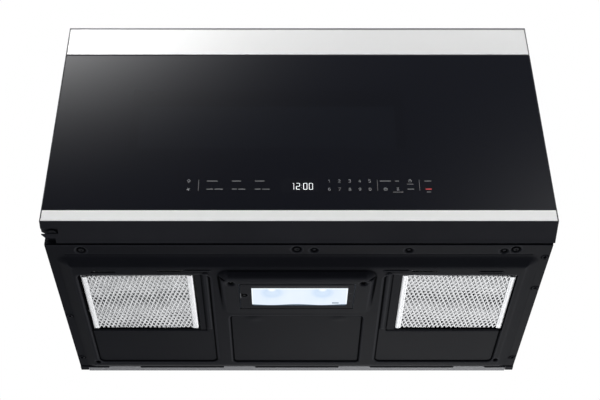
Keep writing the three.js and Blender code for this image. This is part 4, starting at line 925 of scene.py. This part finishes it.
def swept(cage, profile, span):
    """A closed bar along d: a profile of (x, h) places from one d to another."""
    rings = [[cage.verts.new(at(x, d, h)) for x, h in profile] for d in span]
    cage.faces.new(rings[0][::-1])
    cage.faces.new(rings[1])
    for i in range(len(profile)):
        following = (i + 1) % len(profile)
        cage.faces.new((rings[0][i], rings[0][following], rings[1][following], rings[1][i]))


def finished(cage, name, body, finish, replaced):
    bmesh.ops.recalc_face_normals(cage, faces=cage.faces)
    mesh = bpy.data.meshes.new(name)
    cage.to_mesh(mesh)
    cage.free()
    piece(name, mesh, body, finish, replaced)


def filter_mesh(name, side):
    low, high = layout_box(name + "_mesh")
    cage = bmesh.new()
    centre = Vector(((low.x + high.x) / 2, (low.y + high.y) / 2))
    edges = [centre.x + end * (FILTER["wide"] / 2 - RAIL_INSET[side, end] - 0.7) for end in (-1, 1)]
    limits = ((max(edges[0], low.x + 0.4), min(edges[1], high.x - 0.4)), FILTER["seen"])
    slope = side * (RAIL_FRONT[1] - RAIL_FRONT[-1]) / FILTER["wide"]
    front = ((RAIL_FRONT[1] + RAIL_FRONT[-1]) / 2 - slope * centre.x, slope)
    for sheet in MESH_SHEETS:
        strands(cage, sheet, side, centre, limits, front, low.z)
    for vertex in cage.verts:
        vertex.co = at(*vertex.co)
    finished(cage, name + "_strands", name, MESH_FINISH, [name + "_mesh"])


def filter_frame(name, side):
    """Rails of folded sheet with a rolled lower edge, end ties and pivot nubs."""
    low, high = layout_box(name + "_frame")
    middle = (low.x + high.x) / 2
    reach = FILTER["wide"] / 2
    cage = bmesh.new()
    for end in (-1, 1):
        edge = reach - RAIL_INSET[side, end]
        web = [(edge, RAIL_HEIGHT), (edge, 1.2), (edge - 0.6, 1.8), (edge - 0.6, RAIL_HEIGHT)]
        fold = [
            (edge, 1.2), (edge - 1.0, 0.5), (edge - 1.6, 0.2), (edge - 2.1, 0),
            (edge - 5.4, 0), (edge - 5.9, 0.35), (edge - 6.4, 0.1), (edge - 8.6, 0.5),
            (edge - 8.5, 0.9), (edge - 5.9, 0.85), (edge - 2.1, 0.7), (edge - 0.6, 1.8),
        ]
        swept(cage, [(middle + end * x, low.z + h) for x, h in web], FILTER["d"])
        span = (RAIL_FRONT[side * end], FILTER["seen"][1])
        swept(cage, [(middle + end * x, low.z + h) for x, h in fold], span)
    left, right = middle - reach + 0.7, middle + reach - 0.7
    for front, back in ((low.y, low.y + 1.5), (high.y - 1.5, high.y)):
        box = [(left, front), (right, front), (right, back), (left, back)]
        outline = [(x * MM, (y - DEPTH) * MM) for x, y in box]
        prism_between(cage, outline, (high.z - 2 - MOUNT) * MM, (high.z - MOUNT) * MM)
    for x, end in ((low.x, -1), (high.x, 1)):
        inner = middle + end * (reach - RAIL_INSET[side, end] - 0.4)
        place = at((x + inner) / 2, FILTER["d"][0] + NUB["behind"], low.z + NUB["height"])
        bmesh.ops.create_cone(
            cage,
            cap_ends=True,
            segments=20,
            radius1=NUB["radius"] * MM,
            radius2=NUB["radius"] * MM,
            depth=abs(x - inner) * MM,
            matrix=Matrix.Translation(place) @ Matrix.Rotation(math.radians(90), 4, "Y"),
        )
    finished(cage, name + "_rails", name, RAIL_FINISH, [name + "_frame"])


for side, name in GREASE_FILTERS.items():
    filter_mesh(name, side)
    filter_frame(name, side)

# ---------------------------------------------------------------- screws


HEAD = {"radius": 4.4, "height": 1.1, "drive": 1.0, "shank": 1.9}


def screw_head(node):
    """A pan head with a round recess, seen from below, on a plain shank."""
    low, high = layout_box(node)
    x, d = (low.x + high.x) / 2, (low.y + high.y) / 2
    radius, height, shank = HEAD["radius"], HEAD["height"], HEAD["shank"]
    profile = [(radius * 0.55, 0.1), (radius * 0.8, 0.0), (radius * 0.95, 0.35), (radius, height)]
    profile += [(shank, height), (shank, high.z - low.z)]
    cage = bmesh.new()
    turns = 32
    angles = [2 * math.pi * i / turns for i in range(turns)]
    rings = []
    for r, h in profile:
        places = [at(x + r * math.cos(a), d + r * math.sin(a), low.z + h) for a in angles]
        rings.append([cage.verts.new(place) for place in places])
    for first, second in zip(rings, rings[1:]):
        for i in range(turns):
            following = (i + 1) % turns
            cage.faces.new((first[i], first[following], second[following], second[i]))
    cage.faces.new(rings[-1])
    centre = cage.verts.new(at(x, d, low.z + HEAD["drive"]))
    for i in range(turns):
        cage.faces.new((centre, rings[0][(i + 1) % turns], rings[0][i]))
    finished(cage, node + "_head", body_of(node), BLACK_ZINC, [node])


for node in BASE_SCREWS:
    screw_head(node)

# ---------------------------------------------------------------- print on the glass

PRINT_FRONT = 0.03
PRINT_BACK = 0.10
GLASS_SINK = 0.12
DIGITS = {
    "0": [[(0.3, 1), (0.12, 0.92), (0, 0.7), (0, 0.3), (0.12, 0.08), (0.3, 0), (0.48, 0.08), (0.6, 0.3),
           (0.6, 0.7), (0.48, 0.92), (0.3, 1)]],
    "1": [[(0.08, 0.8), (0.36, 1), (0.36, 0)]],
    "2": [[(0.02, 0.8), (0.12, 0.95), (0.3, 1), (0.48, 0.95), (0.58, 0.78), (0.52, 0.6), (0, 0), (0.6, 0)]],
    "3": [[(0.02, 0.88), (0.2, 1), (0.42, 1), (0.56, 0.86), (0.56, 0.68), (0.42, 0.54), (0.22, 0.54)],
          [(0.42, 0.54), (0.6, 0.38), (0.6, 0.16), (0.42, 0), (0.18, 0), (0, 0.12)]],
    "4": [[(0.46, 0), (0.46, 1), (0, 0.28), (0.62, 0.28)]],
    "5": [[(0.54, 1), (0.08, 1), (0.04, 0.54), (0.32, 0.62), (0.54, 0.5), (0.6, 0.3), (0.5, 0.08),
           (0.28, 0), (0, 0.1)]],
    "6": [[(0.5, 0.94), (0.3, 1), (0.1, 0.84), (0, 0.4), (0.08, 0.1), (0.3, 0), (0.52, 0.1), (0.6, 0.32),
           (0.5, 0.54), (0.3, 0.62), (0.04, 0.44)]],
    "7": [[(0, 1), (0.6, 1), (0.2, 0)]],
    "8": [[(0.3, 0.53), (0.08, 0.64), (0.06, 0.86), (0.3, 1), (0.54, 0.86), (0.52, 0.64), (0.3, 0.53),
           (0.02, 0.38), (0, 0.14), (0.3, 0), (0.6, 0.14), (0.58, 0.38), (0.3, 0.53)]],
    "9": [[(0.1, 0.06), (0.3, 0), (0.5, 0.16), (0.6, 0.6), (0.52, 0.9), (0.3, 1), (0.08, 0.9), (0, 0.68),
           (0.1, 0.46), (0.3, 0.38), (0.56, 0.56)]],
}
CLOCK_DIGITS = {
    "1": [[(0.0, 0.9), (0.12, 1), (0.12, 0)]],
    "2": [[(0.02, 1), (0.38, 1), (0.44, 0.94), (0.44, 0.57), (0.38, 0.5), (0.06, 0.5), (0, 0.43), (0, 0.06),
           (0.06, 0), (0.44, 0)]],
    "0": [[(0.06, 1), (0.38, 1), (0.44, 0.94), (0.44, 0.06), (0.38, 0), (0.06, 0), (0, 0.06), (0, 0.94),
           (0.06, 1)]],
}


ROW_HIGH = 89.4
ROW_LOW = 73.9
PRINT_GREY = lit_print("print_grey", (0.24, 0.24, 0.25), 0.2)
PRINT_DIM = lit_print("print_dim", (0.11, 0.11, 0.115), 0.10)
PRINT_RED = lit_print("print_red", (0.42, 0.012, 0.015), 0.35)
PRINT_LIT = lit_print("print_lit", (0.78, 0.80, 0.82), 0.85)


def strokes(name, lines, width, finish):
    """Flat strokes along lines of (x, h) places, just in front of the glass."""
    curve = bpy.data.curves.new(name, "CURVE")
    curve.dimensions = "3D"
    curve.bevel_depth = width / 2 * MM
    curve.bevel_resolution = 1
    curve.use_fill_caps = True
    for line in lines:
        closed = line[0] == line[-1] and len(line) > 2
        places = line[:-1] if closed else line
        spline = curve.splines.new("POLY")
        spline.points.add(len(places) - 1)
        spline.use_cyclic_u = closed
        for point, (x, h) in zip(spline.points, places):
            point.co = (x * MM, 0, (h - MOUNT) * MM, 1)
    drawn = placed(name, curve)
    mesh = evaluated_mesh(drawn)
    bpy.data.objects.remove(drawn)
    middle = (PRINT_FRONT + PRINT_BACK) / 2
    flat = (PRINT_BACK - PRINT_FRONT) / width
    for vertex in mesh.vertices:
        vertex.co.y = vertex.co.y * flat + (middle - DEPTH) * MM
    piece(name, mesh, "door", finish)


def digit(shapes, mark, x, h, tall):
    """One figure's lines, x at its left edge and h at its foot."""
    return [[(x + u * tall, h + v * tall) for u, v in line] for line in shapes[mark]]


def circle(x, h, radius, count=16):
    turns = [2 * math.pi * i / count for i in range(count + 1)]
    return [(x + radius * math.cos(t), h + radius * math.sin(t)) for t in turns[:-1]] + [(x + radius, h)]


def bar(x0, x1, h):
    return [(x0, h), (x1, h)]


def key_numbers():
    lines = []
    columns = (45.75, 60.75, 76.25, 91.25, 106.25)
    for marks, row in (("12345", ROW_HIGH), ("67890", ROW_LOW)):
        for mark, x in zip(marks, columns):
            lines += digit(DIGITS, mark, x - 1.5, row - 2.6, 5.2)
    strokes("key_numbers", lines, 0.62, PRINT_GREY)


def key_bars(high, low):
    bars = [
        bar(-137.5, -121.5, high), bar(-137.5, -128, low), bar(-125.5, -113.5, low),
        bar(-100, -86.5, high), bar(-99.5, -92.5, low), bar(-90, -80, low),
        bar(-65.5, -51.5, high), bar(-65.5, -57, low), bar(-54.5, -43.5, low),
        bar(121.5, 138, high), bar(145, 150, high), bar(162.5, 172, low), bar(188.5, 198.5, high),
    ]
    strokes("key_bars", bars, 1.7, PRINT_DIM)
    small = [bar(162, 171.5, high - 6), bar(140.5, 155.5, low - 5.6), bar(190.5, 197, low - 5.4)]
    strokes("key_small_bars", small, 1.1, PRINT_DIM)


def key_signs(high, low):
    """Plain pictograms: a lamp, a fan, a timer, an hourglass and a lock."""
    x = -164.75
    lamp = [circle(x, high + 0.6, 1.9), [(x - 0.9, high - 2.4), (x + 0.9, high - 2.4)]]
    fan = [circle(x, low, 0.7, 8)]
    for turn in (0, 90, 180, 270):
        c, s = math.cos(math.radians(turn)), math.sin(math.radians(turn))
        blade = [(0.8, 0), (1.7, 1.3), (2.6, 0.4), (0.8, 0)]
        fan.append([(x + u * c - v * s, low + u * s + v * c) for u, v in blade])
    x = 129.5
    timer = [circle(x, low, 2.4), [(x, low), (x, low + 1.5)], [(x, low), (130.7, low)]]
    glass = [(146.4, low + 3), (149.6, low + 3), (148, low + 0.4), (149.6, low - 2.2)]
    glass += [(146.4, low - 2.2), (148, low + 0.4), (146.4, low + 3)]
    lock = [(164.6, high - 1.6), (168.9, high - 1.6), (168.9, high + 1.2), (164.6, high + 1.2)]
    bow = [(165.5, high + 1.2), (165.5, high + 2.6), (166.75, high + 3.4)]
    bow += [(168, high + 2.6), (168, high + 1.2)]
    strokes("key_signs", [*lamp, *fan, *timer, glass, [*lock, lock[0]], bow], 0.6, PRINT_GREY)


def clock():
    lines = []
    tall = 11.6
    foot = 73.6
    for mark, x in (("1", -8.7), ("2", -3.6), ("0", 7.3), ("0", 15.7)):
        lines += digit(CLOCK_DIGITS, mark, x, foot, tall)
    strokes("clock_figures", lines, 1.0, PRINT_LIT)
    dots = [[(4.2, foot + h), (4.2, foot + h + 1.1)] for h in (2.8, 7.6)]
    strokes("clock_dots", dots, 0.9, PRINT_GREY)


key_numbers()
key_bars(ROW_HIGH, ROW_LOW)
key_signs(ROW_HIGH, ROW_LOW)
strokes("key_dividers", [[(x, 71.2), (x, 92)] for x in (-149.75, 117.75, 180.5)], 0.6, PRINT_DIM)
strokes("key_stop", [bar(189.2, 198.3, ROW_LOW)], 2.1, PRINT_RED)
clock()

# ---------------------------------------------------------------- rounded CAD pieces

for node, width in {
    "door_frame": 0.5,
    "vent_panel_frame": 0.5,
    "door_glass": 0.35,
    "door_band": 0.35,
    "vent_panel_glass": 0.35,
    "outer_case": 0.4,
    "wall_plate": 0.5,
    "glass_tray": 0.5,
    "lamp_cover": 0.5,
}.items():
    made = rounded(node, width)
    if node == "door_glass":
        front = at(0, GLASS_SINK, 0).y
        for vertex in made.data.vertices:
            vertex.co.y = max(vertex.co.y, front)

# ---------------------------------------------------------------- light, floor and camera


FLOOR = -2.5
FLOOR_GLOW = 0.45
CARDS = {
    "key_card": {"place": (-1.25, -2.5, 2.78), "spread": (0.70, 0.55), "peak": 42.0},
    "fill_card": {"place": (1.5, -2.5, 1.2), "spread": (0.62, 0.55), "peak": 11.0},
}
LIGHTS = {
    "fill_right": {"place": (2.4, -2.0, 0.6), "target": (0, -0.2, 0.1), "size": (1.6, 1.6), "power": 12},
    "above": {"place": (0, 0, 2.6), "target": (0, 0, 0), "size": (1.8, 1.8), "power": 22},
    "under_back": {"place": (1.25, 2.4, -1.9), "target": (0, -0.2, 0), "size": (3.2, 1.6), "power": 74},
}
CAMERA = {"place": (-18.5, -1299.7, -963.1), "tilt": 35.46, "lens": 66.84, "shift": (0.0228, 0.0833)}


def stage_plane(name, size, matrix):
    half_x, half_y = size[0] / 2, size[1] / 2
    corners = [(-half_x, -half_y, 0), (half_x, -half_y, 0), (half_x, half_y, 0), (-half_x, half_y, 0)]
    made = placed(name, mesh_of(name, corners, [(0, 1, 2, 3)]))
    made.matrix_world = matrix
    return made


def facing(place, target):
    """A frame at a place whose +Z looks at a target."""
    direction = Vector(target) - Vector(place)
    return Matrix.Translation(place) @ direction.to_track_quat("Z", "Y").to_matrix().to_4x4()


def background_rays(nodes):
    """1 for a ray that sees the background straight, in gloss or through glass."""
    path = nodes.add("ShaderNodeLightPath")
    seen = path.outputs["Is Camera Ray"]
    for other in ("Is Glossy Ray", "Is Transmission Ray"):
        seen = nodes.math("MAXIMUM", seen, path.outputs[other])
    return seen


def pale_floor():
    finish = Finish("pale_floor", Roughness=0.9)
    finish.ramp(finish.noise(0.7, 3), [(0.3, (0.93, 0.93, 0.93)), (0.7, (0.96, 0.96, 0.96))], "Base Color")
    finish.shader.inputs["Emission Color"].default_value = (1, 1, 1, 1)
    finish.feed("Emission Strength", finish.math("MULTIPLY", background_rays(finish), FLOOR_GLOW))
    floor = stage_plane("floor", (60, 60), Matrix.Translation((0, 0, FLOOR)))
    floor.data.materials.append(finish.material)


def area_light(name, place, target, size, power):
    data = bpy.data.lights.new(name, "AREA")
    data.shape = "RECTANGLE"
    data.size, data.size_y = size
    data.energy = power
    light = placed(name, data)
    light.matrix_world = facing(place, target) @ Matrix.Rotation(math.pi, 4, "X")
    light.visible_camera = False


def soft_glow(name, place, spread, peak):
    """An upright light card that is brightest in its middle and fades away from it."""
    toward = (place[0], 0, place[2])
    size = [5 * value for value in spread]
    card = stage_plane(name, size, facing(place, toward))
    material = bpy.data.materials.new(name)
    material.use_nodes = True
    nodes = Nodes(material.node_tree)
    nodes.tree.nodes.clear()
    scaled = nodes.add("ShaderNodeMapping")
    scaled.inputs["Scale"].default_value = (1 / spread[0], 1 / spread[1], 1)
    nodes.link(nodes.add("ShaderNodeTexCoord").outputs["Object"], scaled.inputs["Vector"])
    square = nodes.add("ShaderNodeVectorMath", operation="DOT_PRODUCT")
    for socket in (0, 1):
        nodes.link(scaled.outputs[0], square.inputs[socket])
    level = square.outputs["Value"]
    for operation, value in (("MULTIPLY", -1.0), ("EXPONENT", 0.0), ("MULTIPLY", peak)):
        level = nodes.math(operation, level, value)
    glow = nodes.add("ShaderNodeEmission")
    nodes.link(level, glow.inputs["Strength"])
    both = nodes.add("ShaderNodeAddShader")
    nodes.link(glow.outputs[0], both.inputs[0])
    nodes.link(nodes.add("ShaderNodeBsdfTransparent").outputs[0], both.inputs[1])
    nodes.link(both.outputs[0], nodes.add("ShaderNodeOutputMaterial").inputs["Surface"])
    card.data.materials.append(material)
    card.visible_camera = False
    card.visible_shadow = False


def white_world(ambient):
    """Soft ambient light, and plain white where the background is seen."""
    world = bpy.data.worlds.new("studio")
    bpy.context.scene.world = world
    world.use_nodes = True
    nodes = Nodes(world.node_tree)
    plain = nodes.tree.nodes["Background"]
    plain.inputs["Color"].default_value = (0.97, 0.985, 1.0, 1)
    plain.inputs["Strength"].default_value = ambient
    white = nodes.add("ShaderNodeBackground")
    white.inputs["Color"].default_value = (1, 1, 1, 1)
    white.inputs["Strength"].default_value = 1.0
    mix = nodes.add("ShaderNodeMixShader")
    for socket, source in enumerate((background_rays(nodes), plain.outputs[0], white.outputs[0])):
        nodes.link(source, mix.inputs[socket])
    nodes.link(mix.outputs[0], nodes.tree.nodes["World Output"].inputs["Surface"])


def camera(place, tilt, lens, shift):
    """The camera, whose tilt is its turn upward from level in degrees."""
    data = bpy.data.cameras.new("camera")
    data.sensor_width = 36
    data.lens = lens
    data.shift_x, data.shift_y = shift
    made = placed("camera", data)
    made.location = at(*place)
    made.rotation_euler = (math.radians(90 + tilt), 0, 0)
    bpy.context.scene.camera = made


pale_floor()
white_world(0.32)
for name, values in CARDS.items():
    soft_glow(name, **values)
for name, values in LIGHTS.items():
    area_light(name, **values)
camera(**CAMERA)

bpy.context.scene.view_settings.view_transform = "Standard"
